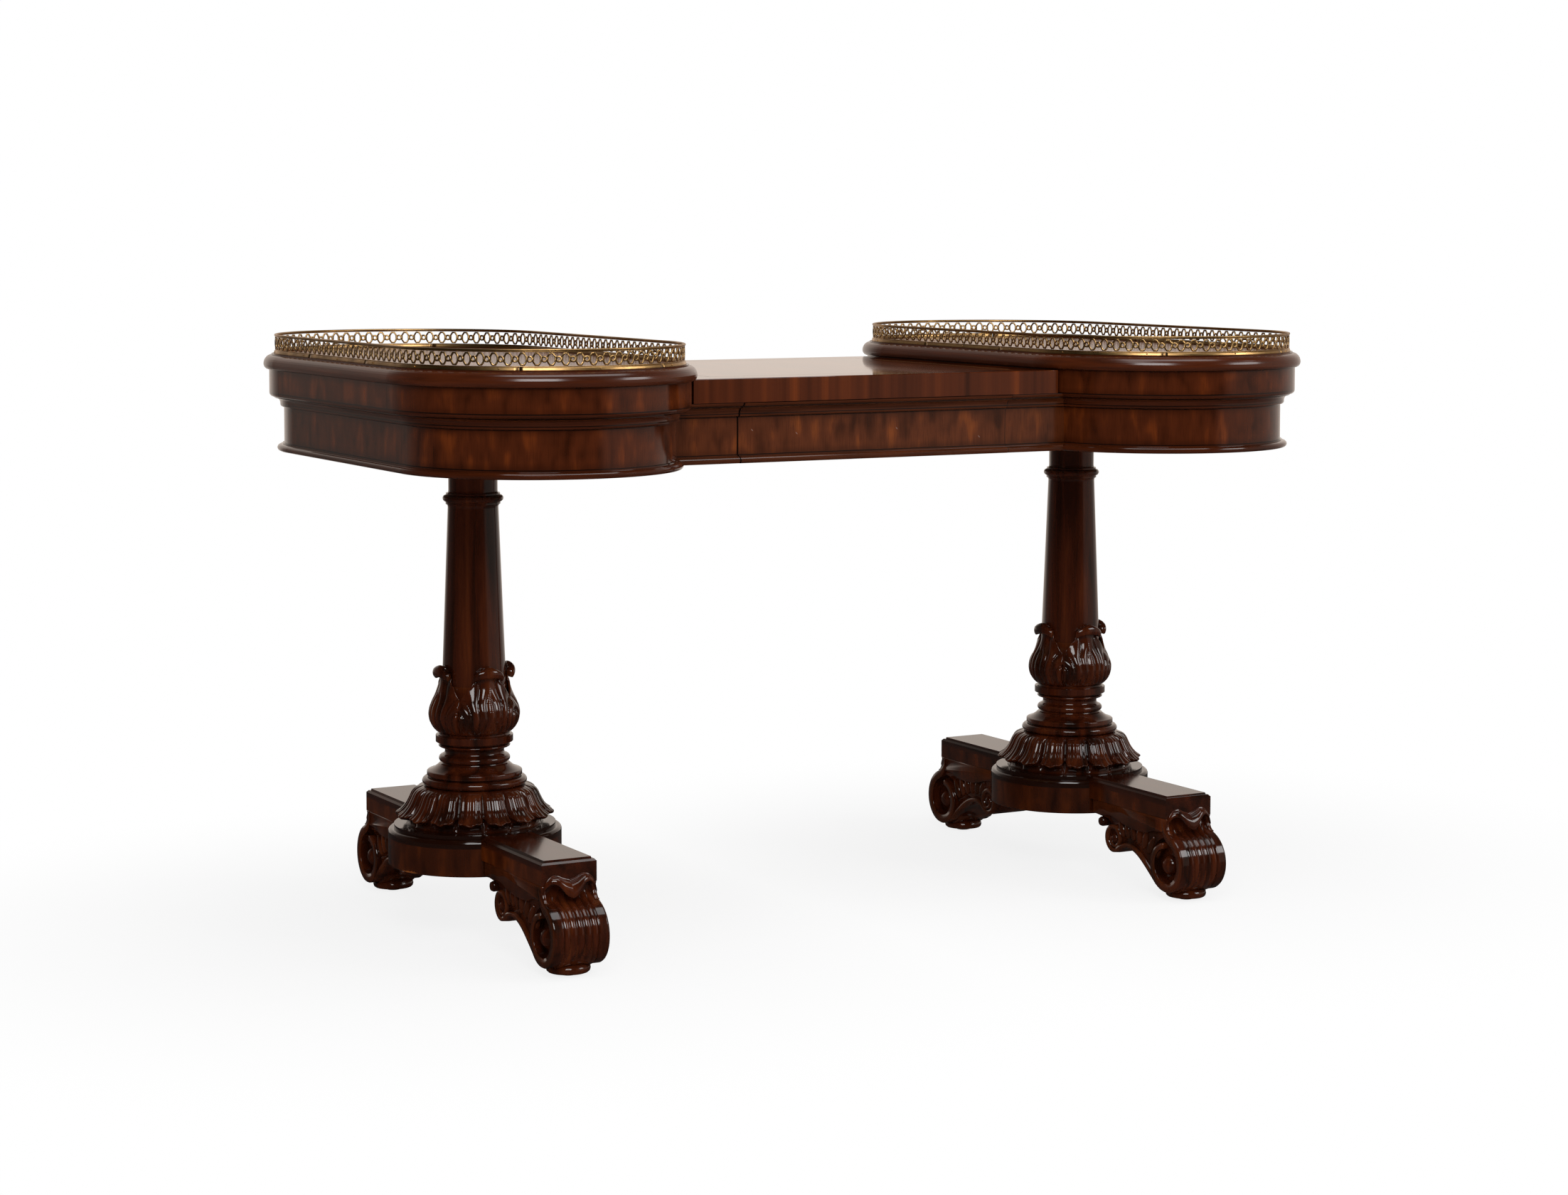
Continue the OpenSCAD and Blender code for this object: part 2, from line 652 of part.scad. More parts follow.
module vase(side) color(mahogany) at_end(side) difference() {
    skin([
        vase_ring(collar_r - 6, collar_z, 0, 0, 0),
        vase_ring(collar_r - 2, collar_z + 5, 0.6, 0, 0),
        vase_ring(vase_r - 4.5, collar_z + 12, 1.2, 0, 0),
        vase_ring(vase_r - 1.8, collar_z + 19, 1.6, 0, 0),
        vase_ring(vase_r - 1.8, collar_z + 27, 1.8, 0, 0),
        vase_ring(vase_r - 4.5, collar_z + 37, 1.8, 0.1 * leaf_lift, 1),
        vase_ring(vase_r - 8.5, collar_z + 47, 1.8, 0.25 * leaf_lift, 0),
        vase_ring(socket_r + 4.5, collar_z + 57, 1.5, 0.5 * leaf_lift, 0),
        vase_ring(socket_r + 3, shaft_foot_z - 1, 1.2, 0.8 * leaf_lift, 2.5),
        vase_ring(socket_r + 3.2, shaft_foot_z + 1, 1, leaf_lift - 1, 7.5),
        vase_ring(socket_r + 2.2, shaft_foot_z + 2.6, 0.6, leaf_lift, 7),
        vase_ring(socket_r + 1, shaft_foot_z + 2.2, 0, leaf_lift - 1.5, 3.5),
        vase_ring(socket_r + 0.3, shaft_foot_z + 1, 0, 0.6 * leaf_lift, 0),
        vase_ring(socket_r, shaft_foot_z, 0, 0, 0)
    ]);
    translate([0, 0, collar_z - 1]) cylinder(r = rod_hole_r, h = shaft_foot_z - collar_z + 2, $fn = 48);
}

// One ring of the bell: plain radius, reach of the leaf tips and swell of the leaves' ribs
function bell_ring(r, z, reach, rib, droop, n = 128) = [for (i = [0 : n - 1])
    let (a = 360 * i / n, tip = (1 + cos(bell_leaves * a)) / 2, groove = cos(2 * bell_leaves * a))
    let (out = r + reach * (1 - (1 - tip) ^ 2) - rib * groove)
    [out * cos(a), out * sin(a), z - droop * tip]];

module leaf_bell(side) color(mahogany) at_end(side) difference() {
    top_h = bell_top_z - disc_z;
    skin([
        bell_ring(bell_r - 13, disc_z, 0, 0, 0),
        bell_ring(bell_r - 11, disc_z + 0.16 * top_h, 3, 0, 2),
        bell_ring(bell_r - 9, disc_z + 0.28 * top_h, 8.5, 0, 3),
        bell_ring(bell_r - 8.5, disc_z + 0.37 * top_h, 8.2, 0.6, 2),
        bell_ring(bell_r - 12, disc_z + 0.5 * top_h, 5.5, 1, 0),
        bell_ring(between(base_bead_r, bell_r, 0.5) - 4, disc_z + 0.66 * top_h, 3, 1, 0),
        bell_ring(between(base_bead_r, bell_r, 0.2) - 4, disc_z + 0.82 * top_h, 2, 0.8, 0),
        bell_ring(base_bead_r - 4, bell_top_z, 0, 0, 0)
    ]);
    translate([0, 0, disc_z - 1]) cylinder(r = rod_hole_r, h = top_h + 2, $fn = 48);
}

// The round platform, with a rounded upper edge, a raised disc and a recess for the nut
platform_points = let (top = drum_bottom_z + drum_h) concat(
    [[rod_hole_r, drum_bottom_z + nut_recess], [washer_r + 1, drum_bottom_z + nut_recess]],
    [[washer_r + 1, drum_bottom_z], [drum_r - 1, drum_bottom_z], [drum_r, drum_bottom_z + 1]],
    arc(drum_r - 5, top - 5, 5, 5, 0, 90),
    [[disc_r, top], [disc_r, disc_z], [rod_hole_r, disc_z]]
);

module platform(side) color(mahogany) at_end(side) rotate_extrude($fn = 96) polygon(platform_points);

// The space taken by the platform's side, cut from what meets it
module drum_space() translate([0, 0, drum_bottom_z - 5]) cylinder(r = drum_r, h = drum_h + 20, $fn = 96);

// A slab of the arm's crown between two heights, drawn in at both
module crown_slab(z0, in0, z1, in1) hull() for (level = [[z0, in0], [z1, in1]])
    translate([-arm_half_w + level[1], 0, level[0]])
    cube([2 * (arm_half_w - level[1]), arm_end - level[1], 0.01]);

module arm(side, face) color(mahogany) at_end(side) at_face(face) difference() {
    union() {
        translate([-arm_half_w, 0, arm_joint_z]) cube([2 * arm_half_w, arm_end, arm_side_z - arm_joint_z]);
        crown_slab(arm_side_z - 0.1, 0.1, arm_side_z + arm_crown_h / 2, 2.5);
        crown_slab(arm_side_z + 0.1, 4.5, arm_side_z + arm_crown_h - 0.01, 5.5);
    }
    drum_space();
}

// Side outline of a scroll foot as [distance from the axis, height]. The front curve runs
// over the large volute, and cut draws it in for the flutes.
volute = [volute_y, volute_z];
volute_a0 = 70;
volute_a1 = -100;
volute_draw = 8.5;
leaf_gap = 0.4;
curl = [curl_y, curl_z];
curl_a0 = -60;
curl_a1 = -240;

function on_volute(r, a) = volute + r * [cos(a), sin(a)];
function past_curl(across, up) = curl + curl_r * [across, up];

function front_curve(cut) = let (start = on_volute(volute_r - cut, volute_a0)) concat(
    bend([arm_end - cut, arm_joint_z], [arm_end - cut, arm_joint_z - 15], start, 5),
    [for (p = spiral(volute, volute_r - cut, volute_r - volute_draw - cut, volute_a0, volute_a1, 16))
        if (p != start) p]
);

// The underside runs from the heel of the large volute over an arch to the small one, and
// ends in a knob against the platform
function foot_outline(cut) = let (
    heel = on_volute(volute_r - volute_draw - cut, volute_a1),
    arch_mid = [between(curl_y, volute_y, 0.6), volute_z - 0.18 * volute_r],
    arch_top = [between(curl_y, volute_y, 0.27), curl_z - 0.36 * curl_r],
    curl_points = spiral(curl, 0.73 * curl_r, curl_r, curl_a0, curl_a1, 12),
    knob = past_curl(-1.55, 0.82),
    knob_r = 0.32 * curl_r
) concat(
    [[drum_r - 10, arm_joint_z]],
    front_curve(cut),
    [for (p = bend(heel, [between(curl_y, volute_y, 0.75), volute_z - volute_r / 2], arch_mid, 3))
        if (p != heel) p],
    [for (p = bend(arch_mid, [between(curl_y, volute_y, 0.43), curl_z - 0.4 * curl_r], arch_top, 4))
        if (p != arch_mid) p],
    [for (p = bend(arch_top, past_curl(0.8, -0.36), curl_points[0], 3))
        if (p != arch_top && p != curl_points[0]) p],
    curl_points,
    [past_curl(-0.86, 1.11)],
    arc(knob[0], knob[1], knob_r, knob_r, 20, -200, 8),
    [[knob[0] - 2 * knob_r, drum_bottom_z], [drum_r - 10, drum_bottom_z]]
);

// The leaf curls over in front of the arm's end in two arches, and droops between them. Each
// section stands across the foot at x, and runs up the front and back down the arm's end.
function leaf_section(x) = let (
    share = cos(90 * x / arm_half_w) ^ 2,
    crest = arm_side_z - 10 + 4 * sin(180 * abs(x) / arm_half_w),
    tip = [arm_end + leaf_out * between(0.45, 1, share), crest - 4 - leaf_droop * share]
) [for (p = [
    [arm_end + leaf_gap, arm_joint_z - 3], [arm_end + 2.5, arm_joint_z - 2],
    [arm_end + 2.5, tip[1] + 2], [tip[0] - 2.5, tip[1] + 0.5], tip, [tip[0] - 1, tip[1] + 3],
    [between(arm_end, tip[0], 0.65), between(tip[1], crest, 0.8)], [arm_end + 2, crest],
    [arm_end + leaf_gap, crest - 1]
]) [x, p[0], p[1]]];

module front_leaf() skin([for (i = [-8 : 8]) leaf_section(i * (arm_half_w - 1) / 8)]);

// A spiral groove of one turn on a side face
function groove_outline(c, r, w) = concat(
    spiral(c, r, r * 0.62, volute_a0, volute_a0 - 360, 24),
    reversed(spiral(c, r - w, r * 0.62 - w, volute_a0, volute_a0 - 360, 24))
);

// Foot sides are carved alike: volute grooves with a round eye in the middle of each
module side_carving() {
    for (v = [[volute, volute_r * 0.84, 4], [curl, curl_r * 0.7, 2.4]])
        linear_extrude(height = groove_d + 1) polygon(groove_outline(v[0], v[1], v[2]));
}

module foot(side, face) color(mahogany) at_end(side) at_face(face) {
    rib_w = 9;
    flute_w = (2 * arm_half_w - 4 * rib_w) / 3;
    difference() {
        union() {
            translate([-arm_half_w, 0, 0]) rotate([90, 0, 90])
                linear_extrude(height = 2 * arm_half_w) polygon(foot_outline(groove_d));
            for (i = [0 : 3]) translate([-arm_half_w + i * (rib_w + flute_w), 0, 0]) rotate([90, 0, 90])
                linear_extrude(height = rib_w)
                polygon(concat(
                    [[volute_y - 14, arm_joint_z]], front_curve(0), [[volute_y - 14, volute_z - 28]]
                ));
            translate([0, glide_y, glide_h]) cylinder(r = pad_r, h = pad_top_z - glide_h, $fn = 48);
        }
        drum_space();
        for (end = [0, 1]) mirror([end, 0, 0])
            translate([arm_half_w - groove_d, 0, 0]) rotate([90, 0, 90]) side_carving();
        translate([0, glide_y, glide_h - 1]) cylinder(r = glide_hole_r, h = glide_top_z, $fn = 48);
    }
    front_leaf();
    for (end = [0, 1]) mirror([end, 0, 0]) for (eye = [[volute, 12], [curl, 5]])
        translate([arm_half_w - 0.5, eye[0][0], eye[0][1]]) rotate([0, 90, 0])
        cylinder(r1 = eye[1], r2 = eye[1] - 1.5, h = 2.5, $fn = 48);
}

// Metal parts

module nut(z) translate([0, 0, z]) cylinder(r = 1.7 * rod_r, h = nut_h, $fn = 6);

module washer(z) translate([0, 0, z]) cylinder(r = washer_r, h = washer_t, $fn = 48);

// A rod with a nut and a washer at each end pulls the pedestal together
module tie_rods() color(steel) for (side = [-1, 1]) at_end(side) {
    recess_z = drum_bottom_z + nut_recess;
    rod_z = drum_bottom_z + 1;
    translate([0, 0, rod_z]) cylinder(r = rod_r, h = board_top_z + nut_h + washer_t + 6 - rod_z, $fn = 48);
    washer(recess_z - washer_t);
    nut(recess_z - washer_t - nut_h);
    washer(board_top_z);
    nut(board_top_z + washer_t);
}

module glide(side, face) color(steel) at_end(side) at_face(face) translate([0, glide_y, 0]) {
    cylinder(r1 = glide_r - 1, r2 = glide_r, h = 1, $fn = 48);
    translate([0, 0, 1]) cylinder(r = glide_r, h = glide_h - 1 - glide_gap, $fn = 48);
    translate([0, 0, glide_h / 2]) cylinder(r = glide_stem_r, h = glide_top_z - glide_h / 2, $fn = 48);
}

tray_top(-1);  // left_tray_top
end_bottom(-1);  // left_end_bottom
frieze_bow(-1, -1);  // left_front_bow
frieze_bow(-1, 1);  // left_back_bow
outer_side(-1);  // left_outer_side
inner_side(-1);  // left_inner_side
gallery_half(-1, -1);  // left_gallery_front
gallery_half(-1, 1);  // left_gallery_back
tray_top(1);  // right_tray_top
end_bottom(1);  // right_end_bottom
frieze_bow(1, -1);  // right_front_bow
frieze_bow(1, 1);  // right_back_bow
outer_side(1);  // right_outer_side
inner_side(1);  // right_inner_side
gallery_half(1, -1);  // right_gallery_front
gallery_half(1, 1);  // right_gallery_back
flank(-1, -1);  // left_front_flank
flank(1, -1);  // right_front_flank
flank(-1, 1);  // left_back_flank
flank(1, 1);  // right_back_flank
dummy_drawer_front();
well_rails();
well_cheeks();
well_floor();
well_bar();
light_points();
dark_points();
drawer_runners();
drawer_stops();
top_panel();
light_squares();
dark_squares();
drawer_front();
drawer_side(-1);  // drawer_left_side
drawer_side(1);  // drawer_right_side
drawer_back();
drawer_bottom();
column(-1);  // left_column
vase(-1);  // left_vase
turned_base(-1);  // left_turned_base
leaf_bell(-1);  // left_leaf_bell
platform(-1);  // left_platform
arm(-1, -1);  // left_front_arm
arm(-1, 1);  // left_back_arm
foot(-1, -1);  // left_front_foot
foot(-1, 1);  // left_back_foot
column(1);  // right_column
vase(1);  // right_vase
turned_base(1);  // right_turned_base
leaf_bell(1);  // right_leaf_bell
platform(1);  // right_platform
arm(1, -1);  // right_front_arm
arm(1, 1);  // right_back_arm
foot(1, -1);  // right_front_foot
foot(1, 1);  // right_back_foot
tie_rods();
glide(-1, -1);  // left_front_glide
glide(-1, 1);  // left_back_glide
glide(1, -1);  // right_front_glide
glide(1, 1);  // right_back_glide
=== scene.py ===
import math

import bpy
from mathutils import Matrix, Vector


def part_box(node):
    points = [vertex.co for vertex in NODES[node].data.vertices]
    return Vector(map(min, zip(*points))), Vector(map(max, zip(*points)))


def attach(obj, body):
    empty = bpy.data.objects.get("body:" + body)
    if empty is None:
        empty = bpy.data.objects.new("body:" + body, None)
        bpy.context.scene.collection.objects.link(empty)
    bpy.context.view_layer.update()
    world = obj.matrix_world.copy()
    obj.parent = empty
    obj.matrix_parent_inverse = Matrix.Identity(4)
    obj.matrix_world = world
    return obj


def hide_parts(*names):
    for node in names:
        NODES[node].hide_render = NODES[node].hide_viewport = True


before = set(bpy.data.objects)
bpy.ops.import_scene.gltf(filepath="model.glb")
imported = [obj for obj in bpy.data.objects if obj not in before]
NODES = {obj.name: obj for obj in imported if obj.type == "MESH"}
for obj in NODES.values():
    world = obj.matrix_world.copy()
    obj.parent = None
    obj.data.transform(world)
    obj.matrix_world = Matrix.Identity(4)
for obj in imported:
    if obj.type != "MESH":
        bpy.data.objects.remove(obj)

bl_info = {
    "name": "Games Table",
    "version": (1, 0, 0),
    "blender": (4, 5, 0),
    "location": "View3D > Sidebar > Games Table",
    "description": "Finishes a long games table: veneer, carving, brass galleries and a studio stage",
    "category": "Object",
}

ENDS = (("left", -1), ("right", 1))
FACES = (("front", -1), ("back", 1))
MM = 0.001

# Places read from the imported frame, in metres
END_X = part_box("right_column")[0].lerp(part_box("right_column")[1], 0.5).x
VASE_Z0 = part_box("right_vase")[0].z
BELL_Z0, BELL_Z1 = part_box("right_leaf_bell")[0].z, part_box("right_leaf_bell")[1].z
PLATFORM_Z0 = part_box("right_platform")[0].z
GALLERY_LOW, GALLERY_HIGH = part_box("right_gallery_front")

# The plan of an end, in metres: half of its straight side, and its bow's radius at the frieze
STRAIGHT_Y = 0.2055
END_R = 0.1756
# How far the gallery stands out from the frieze, and the length of its loop
GALLERY_OUT = 0.0107
GALLERY_R = END_R + GALLERY_OUT
LOOP = 2 * math.pi * GALLERY_R + 4 * STRAIGHT_Y

# Heights of the casework's mouldings, in metres: bead, lower step, upper step and games surface
BEAD_Z, LOWER_Z, UPPER_Z, SURFACE_Z = 0.6396, 0.6884, 0.7080, 0.7400
# Corners of the mouldings, painted with a dark line of shade: height and half width
SHADED_CORNERS = ((UPPER_Z + 0.0003, 0.0008), (0.7024, 0.0006), (0.6928, 0.0006),
           (LOWER_Z + 0.0003, 0.0006), (BEAD_Z, 0.0005))
# Joints in the friezes, as distances from the middle: beside the drawer, and between an end's side and bow
DRAWER_JOINT = 0.2049
BOW_JOINT = 0.187
# Width of the crossbanded border of the tops
BORDER = 0.048
# Radius of the round platforms, and the heights at which platforms and arms turn to solid mouldings
PLATFORM_R = 0.115
PLATFORM_EDGE_Z = 0.1293
ARM_EDGE_Z = 0.1338
# How far out the end face of an arm begins
ARM_END_Y = 0.2964
# Half the width over which one wood gives way to the next
SEAM = 0.0004

# Small pale knocks on the drawer front, as (x, z)
KNOCKS = ((-0.184, 0.671), (-0.118, 0.665), (0.034, 0.667), (0.163, 0.652))
# Bearing of the chip low on the left platform, in radians
CHIP_BEARING = -2.82

# Colours of small things, and tints of the veneer
# Near-black: painted shade in the corners of the mouldings and under the noses, and dust in the joints
DUST_AND_SHADE = (0.0045, 0.0016, 0.0008)
CARVED_RECESS = (0.0045, 0.0018, 0.0010)
CARVED_CREST = (0.125, 0.030, 0.0075)
TURNED_LIGHT = (0.082, 0.0175, 0.0042)
KNOCKED = (0.26, 0.17, 0.14)
CHIPPED = (0.26, 0.075, 0.016)
STRINGING = (0.30, 0.17, 0.07)
FIELD_TONES = ((0.040, 0.009, 0.0030), (0.10, 0.024, 0.0070), (0.19, 0.052, 0.015))
PLAIN_TINT = (1.0, 1.0, 1.0)
# The centre's veneer paler and greyer: a paler sheet, with painted sheen in it
CENTRE_TINT_AND_SHEEN = (1.40, 1.70, 2.10)
# The platforms' veneer darkened as painted shade
PLATFORM_SHADE_TINT = (0.50, 0.48, 0.36)
# The left arms' veneer yellower; the right arms' darker still, as painted shade
ARM_TINTS_AND_SHADE = {"left": (0.92, 0.86, 0.5), "right": (0.60, 0.56, 0.4)}


# Settings

def length(name, default, description):
    return bpy.props.FloatProperty(name=name, description=description, default=default, unit="LENGTH")


def number(name, default, low, high, description):
    return bpy.props.IntProperty(name=name, description=description, default=default, min=low, max=high)


def colour(name, default, description):
    return bpy.props.FloatVectorProperty(name=name, description=description, default=default, subtype="COLOR")


def angle(name, default, description):
    return bpy.props.FloatProperty(name=name, description=description, default=default, unit="ROTATION")


def power(name, default, description):
    return bpy.props.FloatProperty(name=name, description=description, default=default, unit="POWER")


class CarvingSizes(bpy.types.PropertyGroup):
    """Sizes of the carved work."""
    vase_leaves: number("Vase leaves", 4, 3, 6, "Leaves round each vase")
    vase_groove: length("Vase groove", 0.0034, "Depth of the grooves in the vase leaves")
    bell_leaves: number("Bell leaves", 16, 8, 24, "Leaves round each bell")
    bell_turn: angle("Bell turn", math.radians(-4.3), "Turn of the bell's leaves from the front")
    bell_groove: length("Bell groove", 0.0022, "Depth of the flutes in the bell leaves")
    reeds: number("Reeds", 5, 3, 7, "Reeds down the front of each foot")
    reed_depth: length("Reed depth", 0.0030, "Depth of the grooves between reeds")


class GallerySizes(bpy.types.PropertyGroup):
    """Sizes of the pierced brass gallery."""
    cells: number("Cells", 114, 60, 160, "Tall openings round a whole gallery")
    oval_width: length("Oval width", 0.0077, "Width of a tall opening")
    oval_height: length("Oval height", 0.0130, "Height of a tall opening")
    eye: length("Eye", 0.0040, "Diameter of the small round openings")
    strip: length("Strip", 0.0024, "Width of the brass between openings")
    sheet: length("Sheet", 0.0012, "Thickness of the fret")
    pins: number("Pins", 16, 4, 60, "Fixing pins round a whole gallery")


class FinishColours(bpy.types.PropertyGroup):
    """Colours of the table's finishes."""
    veneer_dark: colour("Dark stripe", (0.026, 0.0048, 0.0010), "Dark stripes of the crossbanding")
    veneer_red: colour("Red ground", (0.060, 0.0120, 0.0030), "Ground of the crossbanding")
    veneer_gold: colour("Golden stripe", (0.122, 0.0245, 0.0044), "Light stripes of the crossbanding")
    turned_dark: colour("Dark turnery", (0.012, 0.0030, 0.0011), "Dark grain of turned and carved wood")
    turned_red: colour("Red turnery", (0.044, 0.0082, 0.0025), "Red grain of turned and carved wood")
    brass: colour("Brass", (0.68, 0.42, 0.165), "Polished brass")
    bronze: colour("Aged brass", (0.16, 0.085, 0.036), "Dulled brass in the recesses")
    matt: bpy.props.FloatProperty(name="Matt wood", description="Roughness of the wood under the polish",
                                  default=0.3, min=0.02, max=0.8)


class StageSettings(bpy.types.PropertyGroup):
    """The camera, floor and lights."""
    eye: bpy.props.FloatVectorProperty(name="Eye", description="Place of the camera", subtype="TRANSLATION",
                                       default=(-2.1401, -3.8938, 0.9389))
    heading: angle("Heading", 0.5014, "Turn of the camera from +Y towards +X")
    tilt: angle("Tilt", 0.0724, "Tilt of the camera below level")
    lens: bpy.props.FloatProperty(name="Lens", description="Focal length in millimetres", default=73.56)
    shift: bpy.props.FloatProperty(name="Shift", description="Vertical shift of the lens", default=-0.0907)
    floor_tone: bpy.props.FloatProperty(name="Floor tone", description="Paleness of the floor", default=0.80)
    key: power("Key light", 62.0, "Power of the front soft box")
    fill: power("Fill light", 42.0, "Power of the top soft box")


# Meshes

def mesh_object(name, verts, faces, smooth=True):
    mesh = bpy.data.meshes.new(name)
    mesh.from_pydata([tuple(v) for v in verts], [], faces)
    if smooth:
        mesh.shade_smooth()
    mesh.update()
    made = bpy.data.objects.new(name, mesh)
    bpy.context.scene.collection.objects.link(made)
    return made


def joined(parts):
    """One list of points and one of faces from several."""
    verts, faces = [], []
    for part_verts, part_faces in parts:
        base = len(verts)
        verts.extend(part_verts)
        faces.extend([tuple(i + base for i in face) for face in part_faces])
    return verts, faces


def placed(part, matrix):
    """A copy of a part under a matrix; a mirrored one keeps its faces outwards."""
    verts, faces = part
    verts = [matrix @ Vector(v) for v in verts]
    if matrix.determinant() < 0:
        faces = [tuple(reversed(face)) for face in faces]
    return verts, faces


def skin(rows, caps=True, closed=False):
    """Faces between rings of points; rings run upwards and go round anticlockwise.
    A closed skin joins the last ring to the first, and has no caps."""
    n = len(rows[0])
    verts = [p for row in rows for p in row]
    faces = []
    for k in range(len(rows) if closed else len(rows) - 1):
        low, high = k * n, ((k + 1) % len(rows)) * n
        for i in range(n):
            j = (i + 1) % n
            faces.append((low + i, low + j, high + j, high + i))
    if caps and not closed:
        faces.append(tuple(reversed(range(n))))
        faces.append(tuple(range((len(rows) - 1) * n, len(rows) * n)))
    return verts, faces


def swept(path, profile, closed=False):
    """Sweeps a closed profile of (out, up) along a level path."""
    up = Vector((0, 0, 1))
    rows = []
    for i, p in enumerate(path):
        a = path[i - 1] if i or closed else p
        b = path[(i + 1) % len(path)] if i < len(path) - 1 or closed else p
        along = (Vector(b) - Vector(a)).normalized()
        out = along.cross(up).normalized()
        rows.append([Vector(p) + out * x + up * z for x, z in profile])
    return skin(rows, caps=not closed, closed=closed)


def circle(radius, count):
    steps = (2 * math.pi * i / count for i in range(count))
    return [(radius * math.cos(a), radius * math.sin(a)) for a in steps]


def lathed(outline, count, caps=True, closed=False):
    """A turned skin about Z from an outline of (radius, height) in millimetres."""
    around = circle(1.0, count)
    return skin([[(r * x * MM, r * y * MM, z * MM) for x, y in around] for r, z in outline], caps, closed)


def arc(centre, width, height, start, stop, count):
    """Points on an upright ellipse between two angles in degrees."""
    steps = (math.radians(start + (stop - start) * i / count) for i in range(count + 1))
    return [(centre[0] + width * math.cos(a), centre[1] + height * math.sin(a)) for a in steps]


def spiral(centre, r0, r1, a0, a1, count):
    """Points on a spiral between two radii and two angles in degrees."""
    return [(centre[0] + (r0 + (r1 - r0) * i / count) * math.cos(math.radians(a0 + (a1 - a0) * i / count)),
             centre[1] + (r0 + (r1 - r0) * i / count) * math.sin(math.radians(a0 + (a1 - a0) * i / count)))
            for i in range(count + 1)]


def bend(p0, p1, p2, count):
    """Points on a curve from p0 to p2 that leans towards p1."""
    return [tuple((1 - t) ** 2 * a + 2 * t * (1 - t) * b + t * t * c for a, b, c in zip(p0, p1, p2))
            for t in (i / count for i in range(count + 1))]


def between(points, t):
    """The value at t along a list of (t, value), on straight lines between them."""
    for (t0, v0), (t1, v1) in zip(points, points[1:]):
        if t <= t1:
            f = (t - t0) / (t1 - t0)
            return v0 + (v1 - v0) * f
    return points[-1][1]


def smooth_line(points, steps):
    """Points on a smooth curve through the points given."""
    out = []
    for i in range(len(points) - 1):
        p0 = Vector(points[max(i - 1, 0)])
        p1, p2 = Vector(points[i]), Vector(points[i + 1])
        p3 = Vector(points[min(i + 2, len(points) - 1)])
        for s in range(steps):
            t = s / steps
            out.append(0.5 * ((2 * p1) + (p2 - p0) * t + (2 * p0 - 5 * p1 + 4 * p2 - p3) * t * t
                              + (3 * p1 - p0 - 3 * p2 + p3) * t ** 3))
    out.append(Vector(points[-1]))
    return out


def eased(outline, soft):
    """An outline with its sharp corners cut by a narrow bevel."""
    points = [Vector(p) for p in outline]
    out = [points[0]]
    for a, b, c in zip(points, points[1:], points[2:]):
        before, after = b - a, c - b
        if before.angle(after) > 0.6:
            out += [b - before.normalized() * min(soft, before.length / 3),
                    b + after.normalized() * min(soft, after.length / 3)]
        else:
            out.append(b)
    return out + [points[-1]]


def smoothstep(low, high, x):
    t = min(max((x - low) / (high - low), 0.0), 1.0)
    return t * t * (3 - 2 * t)


# Materials

class Nodes:
    """Adds nodes to a tree. An input is given as a value or as another node's output."""

    prefix = ""

    def link(self, value, socket):
        if isinstance(value, bpy.types.NodeSocket):
            self.links.new(value, socket)
        else:
            socket.default_value = value

    def put(self, kind, inputs=(), **settings):
        made = self.nodes.new(self.prefix + kind)
        for key, value in settings.items():
            setattr(made, key, value)
        for key, value in dict(inputs).items():
            self.link(value, made.inputs[key])
        return made

    def get(self, kind, inputs=(), **settings):
        """The first output of a new node."""
        return self.put(kind, inputs, **settings).outputs[0]


